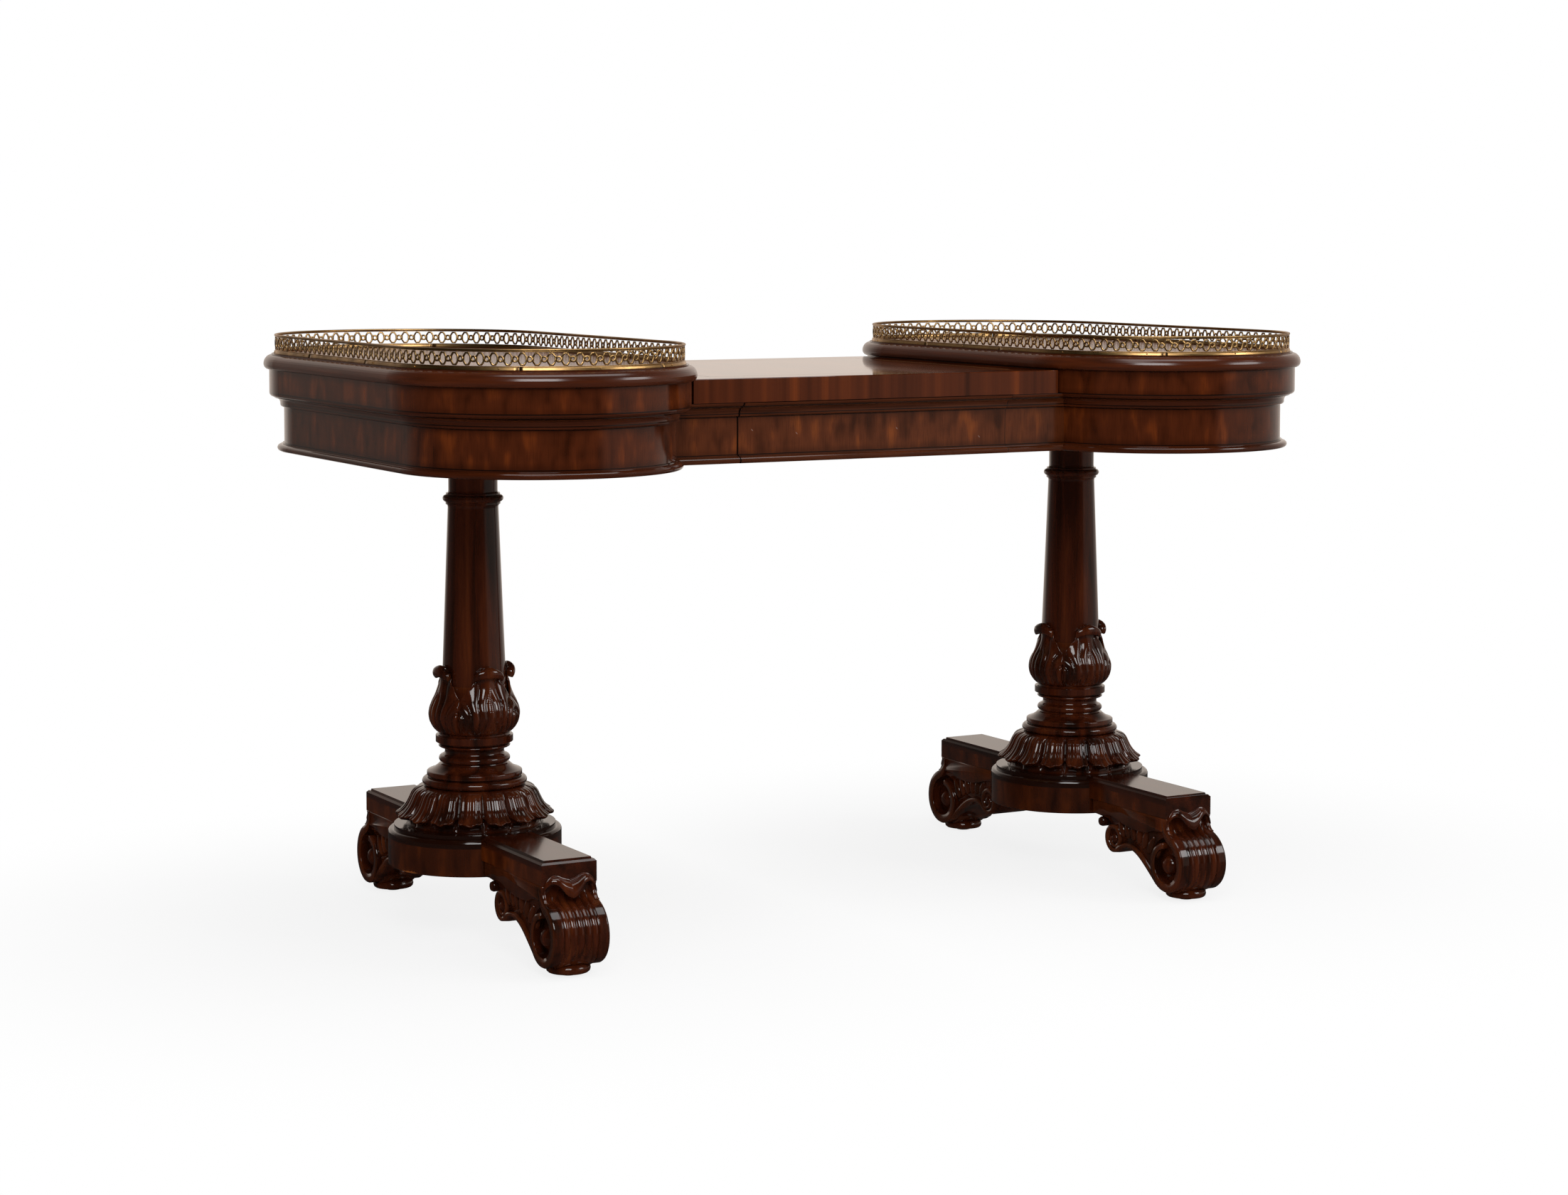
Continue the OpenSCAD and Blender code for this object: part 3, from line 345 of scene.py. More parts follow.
class Shade(Nodes):
    """Builds one material's nodes."""

    prefix = "ShaderNode"

    def __init__(self, name, world=False):
        self.material = (bpy.data.worlds if world else bpy.data.materials).new(name)
        self.material.use_nodes = True
        self.nodes = self.material.node_tree.nodes
        self.links = self.material.node_tree.links
        self.bsdf = self.nodes.get("Principled BSDF")
        self.place = self.nodes.new("ShaderNodeTexCoord").outputs["Generated" if world else "Object"]

    def math(self, operation, a, b=0.0, c=0.0):
        return self.get("Math", {0: a, 1: b, 2: c}, operation=operation)

    def add(self, a, b):
        return self.math("ADD", a, b)

    def minus(self, a, b):
        return self.math("SUBTRACT", a, b)

    def times(self, a, b):
        return self.math("MULTIPLY", a, b)

    def size(self, a):
        return self.math("ABSOLUTE", a)

    def length(self, vector):
        return self.put("VectorMath", {0: vector}, operation="LENGTH").outputs["Value"]

    def weighted(self, *pairs):
        """The sum of values, each times its weight."""
        total = self.times(*pairs[0])
        for value, weight in pairs[1:]:
            total = self.add(total, self.times(value, weight))
        return total

    def mapped(self, value, from_low, from_high, to_low=0.0, to_high=1.0, smooth=False):
        """A value moved from one range to another, and held at its ends."""
        return self.get("MapRange", {0: value, 1: from_low, 2: from_high, 3: to_low, 4: to_high},
                        interpolation_type="SMOOTHSTEP" if smooth else "LINEAR")

    def past(self, value, place, half=SEAM):
        """1 where a value is past a place, with a narrow soft edge."""
        return self.mapped(value, place - half, place + half)

    def line_at(self, value, place, half, strength):
        """The strength of a soft line where a value is near a place."""
        return self.mapped(self.size(self.minus(value, place)), half * 1.6, half * 0.5, 0.0, strength)

    def split(self, vector):
        return self.put("SeparateXYZ", {0: vector}).outputs

    def join(self, x, y, z):
        return self.get("CombineXYZ", {0: x, 1: y, 2: z})

    def noise(self, vector, scale, detail=3.0, roughness=0.55, distortion=0.0):
        made = self.put("TexNoise", {"Vector": vector, "Scale": scale, "Detail": detail,
                                     "Roughness": roughness, "Distortion": distortion})
        return made.outputs["Fac"]

    def ramp(self, value, stops):
        made = self.put("ValToRGB", {0: value})
        elements = made.color_ramp.elements
        elements[0].position, elements[1].position = stops[0][0], stops[-1][0]
        for position, _ in stops[1:-1]:
            elements.new(position)
        for element, (_, tone) in zip(elements, stops):
            tone = (tone,) * 3 if isinstance(tone, float) else tuple(tone)
            element.color = (*tone[:3], 1.0)
        return made.outputs[0]

    def mix(self, factor, a, b):
        made = self.put("Mix", data_type="RGBA")
        for value, socket in ((factor, made.inputs[0]), (a, made.inputs[6]), (b, made.inputs[7])):
            if not isinstance(value, (bpy.types.NodeSocket, float)):
                value = (*tuple(value)[:3], 1.0)
            self.link(value, socket)
        return made.outputs[2]

    def blend_shader(self, factor, a, b):
        return self.get("MixShader", {0: factor, 1: a, 2: b})

    def bump(self, height, distance, strength, normal=None):
        made = self.put("Bump", {"Height": height, "Distance": distance, "Strength": strength})
        if normal is not None:
            self.links.new(normal, made.inputs["Normal"])
        return made.outputs[0]

    def along_grain(self, axis, squeeze):
        """Object coordinates squeezed along the grain."""
        values = zip("xyz", self.split(self.place))
        return self.join(*(self.times(value, squeeze if key == axis else 1.0) for key, value in values))

    def finish(self, **values):
        """Sets the surface's inputs; a bar in a name stands for a space."""
        for key, value in values.items():
            self.link(value, self.bsdf.inputs[key.replace("_", " ")])
        return self.material


def tinted(tone, tint):
    return [a * b for a, b in zip(tone, tint)]


def lacquer(shade, tones, base, coat_roughness, wave, pores=None, pore_depth=0.00005):
    """A clear polish over wood that has no gloss of its own. The wood is a little wavy, by the
    scale, depth and strength in wave."""
    scale, depth, strength = wave
    normal = shade.bump(shade.noise(shade.place, scale, 2.0), depth, strength)
    if pores is not None:
        normal = shade.bump(pores, pore_depth, 0.2, normal)
    return shade.finish(Base_Color=base, Roughness=tones.matt, Normal=normal, Specular_IOR_Level=0.0,
                        Coat_Weight=1.0, Coat_Roughness=coat_roughness, Coat_IOR=1.5)


def stripes(shade, tones, along, up, seed, tint=PLAIN_TINT):
    """Colour and pores of crossbanded veneer: stripes stand up the band, and run on along it."""
    broad = shade.noise(shade.join(along, shade.times(up, 0.34), seed), 50.0, 1.0, 0.5, 0.3)
    narrow = shade.noise(shade.join(along, shade.times(up, 0.12), seed + 3.7), 170.0, 2.0, 0.5)
    patches = shade.noise(shade.join(along, up, seed + 9.1), 24.0, 2.0)
    level = shade.weighted((broad, 0.62), (narrow, 0.10), (patches, 0.28))
    sheets = (tones.veneer_dark, tones.veneer_red, tones.veneer_gold)
    dark, red, gold = (tinted(tone, tint) for tone in sheets)
    banded = shade.ramp(level, [(0.33, dark), (0.45, red), (0.53, [c * 1.2 for c in red]), (0.63, gold),
                                (0.74, [c * 1.3 for c in gold])])
    pores = shade.noise(shade.join(along, shade.times(up, 0.035), seed), 900.0, 2.0, 0.7)
    return shade.mix(shade.ramp(pores, [(0.35, 0.4), (0.5, 0.0)]), banded, tones.veneer_dark), pores


def solid_moulding(shade, tones, red, along, z, seed, scale, low):
    """The plainer wood of a moulding, with its grain along it."""
    grain = shade.noise(shade.join(shade.times(along, 0.05), z, seed), scale, 2.0)
    return shade.mix(shade.ramp(grain, [(0.3, low), (0.7, 1.0)]), tones.turned_dark, red)


def veneer(name, tones, centre_x=0.0, side=0, seed=1.0, tint=PLAIN_TINT, knocks=()):
    """Crossbanded veneer. With a side, its stripes follow the round-ended plan about centre_x."""
    shade = Shade(name)
    x, y, z = shade.split(shade.place)
    from_middle = shade.size(y)
    along = x
    if side:
        far = shade.math("MAXIMUM", shade.minus(from_middle, STRAIGHT_Y), 0.0)
        turn = shade.math("ARCTAN2", far, shade.times(shade.minus(x, centre_x), float(side)))
        run = shade.add(shade.math("MINIMUM", from_middle, STRAIGHT_Y), shade.times(turn, END_R))
        along = shade.times(run, shade.math("SIGN", y))
    base, pores = stripes(shade, tones, along, z, seed, tint)
    # A band is darker along its edges: painted shade under the mouldings, and old polish built up along them
    near = shade.size(shade.minus(z, SURFACE_Z))
    for edge in (BEAD_Z, LOWER_Z, UPPER_Z):
        near = shade.math("MINIMUM", near, shade.size(shade.minus(z, edge)))
    painted_edge_shade = shade.mapped(near, 0.0, 0.011, 0.5, 0.0, smooth=True)
    base = shade.mix(painted_edge_shade, base, tinted(tones.veneer_dark, tint))
    # The mouldings between the bands are solid
    plain = solid_moulding(shade, tones, tinted(tones.veneer_red, tint), along, z, seed, 160.0, 0.35)
    middle, half = (BEAD_Z + LOWER_Z) / 2, (LOWER_Z - BEAD_Z) / 2
    lower = shade.mapped(shade.size(shade.minus(z, middle)), half + SEAM, half - SEAM)
    base = shade.mix(shade.math("MAXIMUM", lower, shade.past(z, UPPER_Z)), plain, base)
    # Painted shade: a dark line in each corner of the mouldings
    for height, width in SHADED_CORNERS:
        base = shade.mix(shade.line_at(z, height, width, 0.92), base, DUST_AND_SHADE)
    joint = (from_middle, BOW_JOINT, 0.0006) if side else (shade.size(x), DRAWER_JOINT, 0.0008)
    base = shade.mix(shade.line_at(*joint, 0.92), base, DUST_AND_SHADE)
    for knock_x, knock_z in knocks:
        slant = shade.line_at(shade.add(x, shade.times(z, 0.8)), knock_x + 0.8 * knock_z, 0.0006, 0.7)
        base = shade.mix(shade.times(slant, shade.line_at(z, knock_z, 0.0011, 1.0)), base, KNOCKED)
    return lacquer(shade, tones, base, 0.11, (22.0, 0.0006, 0.2), pores)


def turned(name, tones, axis="z", carved=False):
    """Solid mahogany with its grain along one axis; carving is darker in its recesses."""
    shade = Shade(name)
    run = shade.along_grain(axis, 0.06)
    fine = shade.noise(run, 420.0, 3.0, 0.7)
    level = shade.weighted((shade.noise(run, 42.0, 3.0, 0.55, 0.6), 0.8), (fine, 0.2))
    base = shade.ramp(level, [(0.36, tones.turned_dark), (0.54, tones.turned_red), (0.70, TURNED_LIGHT)])
    if carved:
        crest = shade.put("NewGeometry").outputs["Pointiness"]
        base = shade.mix(shade.ramp(crest, [(0.40, 0.9), (0.49, 0.0)]), base, CARVED_RECESS)
        base = shade.mix(shade.ramp(crest, [(0.53, 0.0), (0.62, 0.4)]), base, CARVED_CREST)
    return lacquer(shade, tones, base, 0.10, (60.0, 0.0002, 0.25), fine, 0.00004)


def platform_veneer(name, tones, centre_x, seed, chip=None):
    """Crossbanding round a platform, under its solid top, with a chip low on it at one bearing."""
    shade = Shade(name)
    x, y, z = shade.split(shade.place)
    turn = shade.math("ARCTAN2", y, shade.minus(x, centre_x))
    # The platform's stripes are darkened as painted shade
    base, pores = stripes(shade, tones, shade.times(turn, PLATFORM_R), z, seed, PLATFORM_SHADE_TINT)
    if chip is not None:
        ragged = shade.math("MULTIPLY_ADD", shade.noise(shade.place, 260.0, 2.0), 0.006, PLATFORM_Z0 - 0.0005)
        mark = shade.times(shade.line_at(turn, chip, 0.09, 0.9), shade.math("LESS_THAN", z, ragged))
        base = shade.mix(mark, base, CHIPPED)
    base = shade.mix(shade.past(z, PLATFORM_EDGE_Z, 0.0003), base, tones.turned_dark)
    return lacquer(shade, tones, base, 0.11, (22.0, 0.0005, 0.2), pores)


def arm_veneer(name, tones, seed, tint):
    """Crossbanding along an arm, under its solid moulded top."""
    shade = Shade(name)
    x, y, z = shade.split(shade.place)
    base, pores = stripes(shade, tones, y, shade.add(z, x), seed, tint)
    grain = shade.noise(shade.join(x, shade.times(y, 0.06), z), 60.0, 3.0)
    plain = shade.mix(shade.ramp(grain, [(0.35, 0.0), (0.7, 1.0)]), tones.turned_dark, tones.turned_red)
    at_top, at_end = shade.past(z, ARM_EDGE_Z, 0.0003), shade.past(shade.size(y), ARM_END_Y, 0.0002)
    base = shade.mix(shade.math("MAXIMUM", at_top, at_end), base, plain)
    return lacquer(shade, tones, base, 0.13, (22.0, 0.0005, 0.2), pores)


def table_top(name, node, tones, round_ends, seed):
    """A veneered surface: a field with its grain along Y inside a crossbanded border."""
    shade = Shade(name)
    low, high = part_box(node)
    centre, half = low.lerp(high, 0.5), (high - low) / 2
    x, y, z = shade.split(shade.place)
    out = shade.minus(x, centre.x)
    dx, dy = shade.size(out), shade.size(y)
    if round_ends:
        far = shade.math("MAXIMUM", shade.minus(dy, STRAIGHT_Y), 0.0)
        reach = shade.math("SQRT", shade.add(shade.times(dx, dx), shade.times(far, far)))
        inset = shade.minus(half.x, reach)
        along = shade.add(y, shade.times(shade.math("ARCTAN2", far, out), half.x))
    else:
        from_x, from_y = shade.minus(half.x, dx), shade.minus(half.y, dy)
        inset = shade.math("MINIMUM", from_x, from_y)
        along = shade.get("Mix", {0: shade.math("LESS_THAN", from_x, from_y), 2: x, 3: y})
    band, _ = stripes(shade, tones, along, inset, seed)
    figure = shade.noise(shade.join(x, shade.times(y, 0.12), seed), 26.0, 5.0, 0.6, 1.2)
    curl = shade.noise(shade.place, 7.0, 3.0, 0.5, 1.0)
    field = shade.ramp(shade.weighted((figure, 0.7), (curl, 0.3)), list(zip((0.36, 0.52, 0.68), FIELD_TONES)))
    base = shade.mix(shade.past(inset, BORDER), band, field)
    stringing = shade.mapped(shade.size(shade.minus(inset, BORDER)), 0.0012, 0.0007)
    base = shade.mix(stringing, base, STRINGING)
    side = band
    if round_ends:
        red = [c * 1.3 for c in tones.veneer_red]
        side = solid_moulding(shade, tones, red, along, z, seed, 120.0, 0.4)
        # Painted shade: a dark line along the foot of the nose, in the gap above the frieze
        side = shade.mix(shade.line_at(z, SURFACE_Z, 0.0010, 0.92), side, DUST_AND_SHADE)
    base = shade.mix(shade.mapped(z, high.z - 0.0004, high.z - 0.0012), base, side)
    coat, wave = (0.19, 0.04) if round_ends else (0.05, 0.15)
    return lacquer(shade, tones, base, coat, (11.0, 0.0006, wave))


def plain_wood(name, light, dark, scale, rough):
    """Plain wood with its grain along Y, for linings, carcass and inlay."""
    shade = Shade(name)
    run = shade.along_grain("y", 0.05)
    fine = shade.noise(run, scale * 8, 2.0, 0.7)
    level = shade.weighted((shade.noise(run, scale, 5.0, 0.65, 0.8), 0.75), (fine, 0.25))
    return shade.finish(Base_Color=shade.ramp(level, [(0.35, dark), (0.65, light)]), Roughness=rough,
                        Normal=shade.bump(fine, 0.0001, 0.4))


def aged_brass(name, tones):
    """Brass that has dulled in patches and in its corners."""
    shade = Shade(name)
    dull = shade.noise(shade.place, 45.0, 3.0, 0.5)
    spots = shade.noise(shade.place, 300.0, 2.0, 0.5)
    crest = shade.put("NewGeometry").outputs["Pointiness"]
    level = shade.add(dull, shade.times(spots, 0.15))
    base = shade.mix(shade.ramp(level, [(0.40, 0.1), (0.78, 0.6)]), tones.brass, tones.bronze)
    base = shade.mix(shade.ramp(crest, [(0.40, 0.8), (0.50, 0.0)]), base, tones.bronze)
    return shade.finish(Base_Color=base, Metallic=1.0, Roughness=shade.mapped(level, 0.4, 0.9, 0.27, 0.42),
                        Normal=shade.bump(spots, 0.00005, 0.2))


def worn_steel(name):
    """Grey steel with a fine speckle."""
    shade = Shade(name)
    specks = shade.noise(shade.place, 900.0, 3.0)
    base = shade.ramp(specks, [(0.3, (0.24, 0.235, 0.23)), (0.7, (0.50, 0.50, 0.51))])
    return shade.finish(Base_Color=base, Metallic=1.0, Roughness=shade.mapped(specks, 0.0, 1.0, 0.25, 0.5))


# Carving, in millimetres

# Outline of a vase leaf from its foot to the end of its rolled lip, as (height, radius)
VASE_PROFILE = [
    (0.0, 47.0), (2.5, 50.8), (8.0, 55.6), (15.0, 59.0), (24.0, 60.6), (33.0, 59.4), (42.0, 56.0),
    (50.0, 52.2), (58.0, 49.3), (66.0, 47.4), (73.0, 46.8), (77.6, 47.2), (77.8, 49.2), (76.6, 51.2),
    (76.2, 53.4), (78.2, 55.2), (82.2, 55.8), (86.6, 54.6), (89.8, 51.6), (91.0, 48.4), (90.4, 45.6),
]
# The point of that outline where the lip begins, and the steps of the curve between two points
VASE_NECK, VASE_STEPS = 11, 12
# Half width of a vase leaf in degrees, by height
LEAF_WIDTH = [
    (0.0, 45.0), (47.0, 45.0), (51.0, 41.5), (56.0, 37.5), (61.0, 34.0), (64.5, 31.0), (66.5, 27.0),
    (70.0, 24.5), (77.0, 24.0), (82.0, 25.0), (86.0, 24.0), (89.0, 19.0), (91.0, 10.0),
]
# The plain core inside the leaves, as (radius, height)
VASE_CORE = [
    (46.0, 0.0), (50.0, 4.0), (54.5, 14.0), (55.5, 24.0), (53.0, 36.0), (48.5, 46.0), (43.4, 52.0),
    (42.95, 64.0), (35.0, 64.0), (35.0, 0.0),
]
# Outline of a bell leaf from its top down, as (depth below the top, radius)
BELL_PROFILE = [(0.0, 63.0), (0.6, 70.0), (4.0, 77.5), (9.0, 82.0), (16.0, 85.4), (23.0, 89.0), (29.0, 93.4),
                (33.5, 98.2), (36.8, 103.2)]
# Middles of a foot's large and small volute, as (out from the pedestal's axis, up), and half its width
VOLUTE = (294.0, 49.0)
INNER = (168.0, 66.0)
FOOT_HALF = 38.0


def about_axis(row):
    """Points in metres from (radius, angle, height) in millimetres."""
    return [(r * math.cos(a) * MM, r * math.sin(a) * MM, z * MM) for r, a, z in row]


def vase_leaf(depth):
    """One leaf of a vase, pointing to +X from the axis; heights are from the foot of the vase."""
    rows_count, columns = 130, 56
    line = smooth_line([Vector((z, r, 0)) for z, r in VASE_PROFILE], VASE_STEPS)
    lengths = [0.0]
    for a, b in zip(line, line[1:]):
        lengths.append(lengths[-1] + (b - a).length)
    neck = lengths[VASE_NECK * VASE_STEPS]
    rows = []
    k, reached = 0, 0.0
    for row in range(rows_count + 1):
        target = lengths[-1] * row / rows_count
        while k < len(lengths) - 2 and lengths[k + 1] < target:
            k += 1
        f = (target - lengths[k]) / max(lengths[k + 1] - lengths[k], 1e-9)
        z, r, _ = line[k].lerp(line[k + 1], min(f, 1.0))
        width = between(LEAF_WIDTH, z)
        lip = smoothstep(neck - 1.0, neck + 3.0, target)
        reached = max(reached, z)
        # How strongly each kind of carving shows at this height
        ribbed = smoothstep(1.0, 9.0, z) * (1 - lip)
        slit = smoothstep(8.0, 12.0, z) * (1 - smoothstep(30.0, 35.0, z))
        rimmed = smoothstep(60.0, 68.0, z) * (1 - lip)
        bead = 0.5 + 0.5 * math.cos(2 * math.pi * z / 2.3)
        rise = 45.0 * (1 - math.exp(-max(z - 20.0, 0.0) / 45.0))
        outer, inner = [], []
        for i in range(columns + 1):
            u = 2 * i / columns - 1
            turn = math.radians(u * width)
            # The ribs arch over the slit at the joint between two leaves
            edge = max(math.radians(45.0 - 21.0 * smoothstep(40.0, 80.0, z)) - abs(turn), 0.0) * r
            drawn = edge * (1.30 - 0.30 * smoothstep(0.0, 22.0, z))
            phase = ((drawn / 10.5) ** 2 + (rise / 10.5) ** 2) ** 0.5
            ridge = abs(math.sin(math.pi * phase)) ** 0.7
            midrib = math.exp(-(turn * r / 2.7) ** 2)
            carve = -depth / MM * ribbed * (1 - ridge) * (1 - midrib)
            carve += midrib * ribbed * (0.2 + 0.5 * bead) * (1 - smoothstep(60.0, 70.0, z))
            carve -= 3.5 * math.exp(-(edge / 1.6) ** 2) * slit
            carve -= 2.8 * lip * abs(u) ** 3
            radius = r + carve + 0.9 * smoothstep(0.80, 0.93, abs(u)) * rimmed
            droop = 5.0 * lip * abs(u) ** 2.6
            outer.append((radius, turn, z - droop))
            inner.append((min(radius - 2.2, 42.9 if z > 68 else radius - 3.0), turn * 0.97,
                          reached - droop - (0.4 if row == rows_count else 0.0)))
        rows.append(about_axis(outer) + about_axis(reversed(inner)))
    return skin(rows)


def bell_surface(leaves, depth, turn, height):
    """The leaf-carved bell as one closed skin round the axis; heights are from its foot."""
    line = smooth_line([Vector((height - down, r, 0)) for down, r in BELL_PROFILE], 5)
    per_leaf = 26
    n = leaves * per_leaf
    rows = []
    for k, (z, r, _) in enumerate(line):
        t = k / (len(line) - 1)
        strength = smoothstep(0.02, 0.35, t)
        tip = smoothstep(0.72, 1.0, t)
        row = []
        for i in range(n):
            s = 2 * ((i % per_leaf) + 0.5) / per_leaf - 1
            bearing = turn - math.pi / 2 + 2 * math.pi * (i + 0.5) / n - math.pi / leaves
            # Two flutes to a leaf, a deeper gap between leaves, and a tip in three lobes
            flute = abs(math.sin(math.pi * (s * 2.0 + 2.0))) ** 0.7
            gap = smoothstep(0.0, 0.25, 1 - abs(s))
            cut = depth / MM * (1 - flute) * strength * (0.75 + 0.25 * t)
            cut += (3.8 + 7.0 * t * t) * (1 - gap) * strength
            crown = 3.6 * (1 - s * s) * strength - 0.8 * strength
            scallop = 0.5 + 0.5 * math.cos(2 * math.pi * s * 1.5)
            pull = tip * (1.2 + 6.2 * abs(s) ** 3 + 1.6 * (1 - scallop) - 2.4)
            lift = tip * 1.4 * abs(math.sin(2.2 * s))
            row.append((r - cut + crown - pull * 0.9 - 1.0, bearing, z + pull * 0.8 + lift - 1.2 * tip))
        rows.append(row)
    # Round the tips, back under them, and down to the platform
    last = rows[-1]
    for drop, draw in ((0.9, 0.6), (2.0, 2.0), (2.6, 5.0)):
        rows.append([(r - draw, a, z - drop) for r, a, z in last])
    rows.append([(90.0 if r > 90 else r - 4.0, a, max(z * 0.62, 5.0)) for r, a, z in last])
    rows.append([(89.0, a, 2.5) for _, a, _ in last])
    rows.append([(91.0, a, 0.0) for _, a, _ in last])
    return skin([about_axis(row) for row in reversed(rows)])


def turned_base():
    """The turned base under a vase, about its axis: a bead on the bell, a sloping step, a ring, a waist
    and a collar. Heights in the outline are from the top of the collar."""
    low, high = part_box("right_turned_base")
    bead_r = (high.x - low.x) / 2 / MM - 6.0
    outline = [(20.0, -70.0)] + arc((bead_r, -64.5), 6.0, 5.5, -90, 80, 12)
    outline += [(59.3, -59.0), (59.3, -57.4), (63.0, -57.0), (63.0, -51.6)]
    outline += bend((62.2, -50.8), (53.5, -48.6), (46.8, -41.8), 10) + [(43.8, -41.2)]
    outline += arc((42.1, -34.7), 5.0, 5.0, -76, 84, 16)
    outline += bend((41.6, -29.0), (39.6, -28.4), (39.3, -26.0), 5)
    outline += bend((39.3, -26.0), (38.4, -21.2), (42.6, -19.9), 6)[1:]
    outline += arc((43.0, -17.5), 4.4, 2.4, -80, 76, 12)
    outline += [(46.9, -14.6), (46.9, -13.2), (51.2, -12.6), (51.2, -3.4), (47.2, -2.6), (46.9, 0.0)]
    part = lathed(eased(outline + [(20.0, 0.0)], 0.4), 96, caps=False, closed=True)
    return placed(part, Matrix.Translation((0, 0, high.z)))


def ribbon(path, half_width, thickness, reeds, depth):
    """A scrolled ribbon: a path of (y, z), drawn across X, with reeds on its outer face.
    thickness gives the ribbon's thickness and reed strength at each point of the path."""
    columns = 88 if reeds else 8
    reeded = 0.64
    rows = []
    for i, (y, z) in enumerate(path):
        a, b = path[max(i - 1, 0)], path[min(i + 1, len(path) - 1)]
        along = Vector((b[0] - a[0], b[1] - a[1])).normalized()
        out = Vector((-along.y, along.x))
        thick, carved = thickness[i]
        top, under = [], []
        for k in range(columns + 1):
            u = 2 * k / columns - 1
            dip = 1 - smoothstep(0.0, 0.05, 1 - abs(u))
            if reeds and abs(u) < reeded:
                s = (u + reeded) / (2 * reeded) * reeds
                dip += depth / MM * (1 - abs(math.sin(math.pi * s)) ** 0.7) * carved
            top.append((u * half_width * MM, (y - out.x * dip) * MM, (z - out.y * dip) * MM))
            under.append((u * half_width * MM, (y - out.x * thick) * MM, (z - out.y * thick) * MM))
        rows.append(top + list(reversed(under)))
    return skin(rows)


def slab(outline, low, high, soften=1.0):
    """A solid of a side outline (y, z) between two places across X, with softened edges."""
    n = len(outline)
    rows = []
    for x, shrink in ((low, soften), (low + soften, 0.0), (high - soften, 0.0), (high, soften)):
        row = []
        for i, p in enumerate(outline):
            a, b = Vector(outline[i - 1]), Vector(outline[(i + 1) % n])
            along = (b - a).normalized()
            q = Vector(p) - Vector((along.y, -along.x)) * shrink
            row.append((x * MM, q.x * MM, q.y * MM))
        rows.append(row)
    return skin(rows)


def petal(length, width, height):
    """A small carved petal that lies on the YZ plane, facing +X, pointing along +Z."""
    rows = []
    for t in (i / 8 for i in range(9)):
        w = width * math.sin(math.pi * (0.08 + 0.84 * t) ** 0.8) * 0.5
        h = height * (0.35 + 0.65 * math.sin(math.pi * (0.15 + 0.75 * t)))
        rows.append([(max(d, -0.3) * h * MM, -c * w * MM, t * length * MM) for c, d in circle(1.0, 10)])
    return skin(rows)


def dome(centre, radius, reach, x):
    """A round boss on the side of a foot, about (y, z), that stands out to x + reach."""
    rows = []
    for a in (math.pi / 2 * k / 7 for k in range(7)):
        ring, out = circle(radius * math.cos(a), 28), (x + reach * math.sin(a)) * MM
        rows.append([(out, (centre[0] + c) * MM, (centre[1] + d) * MM) for c, d in ring])
    return skin([[(x * MM * 0.8, y, z) for _, y, z in rows[0]]] + rows)


def leaf_fold(half):
    """The leaf that curls over at the top of the front: a rim in two arches, and a drooping lip."""
    # Share of the half width, height of the rim, and how far the leaf stands out there
    rim = smooth_line([(0.0, 120.0, 14.5), (0.22, 122.4, 13.4), (0.46, 126.4, 10.2), (0.68, 125.4, 6.8),
                       (0.86, 119.0, 3.8), (0.96, 110.0, 1.8), (1.0, 103.0, 0.9)], 8)
    # Share of the half width, and height of the lip
    lip = smooth_line([(0.0, 99.0, 0), (0.22, 103.6, 0), (0.46, 114.6, 0), (0.68, 117.6, 0),
                       (0.86, 113.0, 0), (0.96, 106.0, 0), (1.0, 100.0, 0)], 8)
    stations = list(zip(rim, lip))
    rows = []
    for side, order in ((-1, reversed(stations)), (1, stations[1:])):
        for (u, crest, reach), (_, tip, _) in order:
            drop = crest - tip
            line = [(296.8, crest + 0.2), (298.2, crest + 1.0), (299.0, crest - 0.4)]
            line += [(297 + out * reach, crest - down * drop)
                     for out, down in ((0.30, 0.10), (0.62, 0.20), (0.88, 0.45), (1.0, 0.74))]
            line += [(297 + out * reach, tip + up) for out, up in
                     ((0.97, 0.4), (0.84, 0.0), (0.66, 0.16 * drop), (0.46, 0.5 * drop))]
            line += [(297.6, tip + 0.55 * drop), (296.8, tip + 0.5 * drop)]
            curve = smooth_line([(*p, 0.0) for p in line], 3)
            rows.append([(side * u * half * MM, p.x * MM, p.y * MM) for p in reversed(curve)])
    return skin(rows)


def rolled_strap(reeds, depth):
    """The strap from under the leaf, down the front and round the large volute."""
    top = bend((290.0, 114.4), (289.0, 99.5), (309.4, 91.3), 18)
    outer = spiral(VOLUTE, 45.0, 36.5, 70.0, -100.0, 34)
    coil = spiral(VOLUTE, 36.5, 32.0, -100.0, -262.0, 30)[1:]
    path = top[:-1] + outer + coil
    start = len(path) - len(coil)
    thick = [(smoothstep(-4, len(top), i) * 12.5, smoothstep(5, 16, i)) for i in range(start)]
    thick += [(12.5 - 4.5 * i / len(coil), max(0.0, 1 - i / 6)) for i in range(len(coil))]
    return ribbon(path, FOOT_HALF, thick, reeds, depth)


def foot_core():
    """The core behind the strap, and the floor of the recess in the volute."""
    ring = spiral(VOLUTE, 38.0, 38.0, 84.0, 205.0, 20)
    arch = bend(ring[-1], (250.0, 36.0), (243.0, 42.0), 4)[1:]
    arch += bend((243.0, 42.0), (222.0, 57.5), (202.0, 59.0), 8)[1:]
    curl = spiral(INNER, 15.0, 21.0, -60.0, -240.0, 18)
    arch += bend(arch[-1], (186.0, 59.0), curl[0], 5)[1:]
    core = [(118.0, 115.0), (288.0, 115.0), (288.5, 104.0), (293.0, 95.0)] + ring + arch + curl[1:]
    core += [(149.0, 91.0), (120.0, 93.5), (118.0, 93.5)]
    recess = spiral(VOLUTE, 39.0, 39.0, 0.0, -351.0, 39)
    return [slab(core[::-1], -32.5, 32.5), slab(recess[::-1], -25.0, 25.0)]


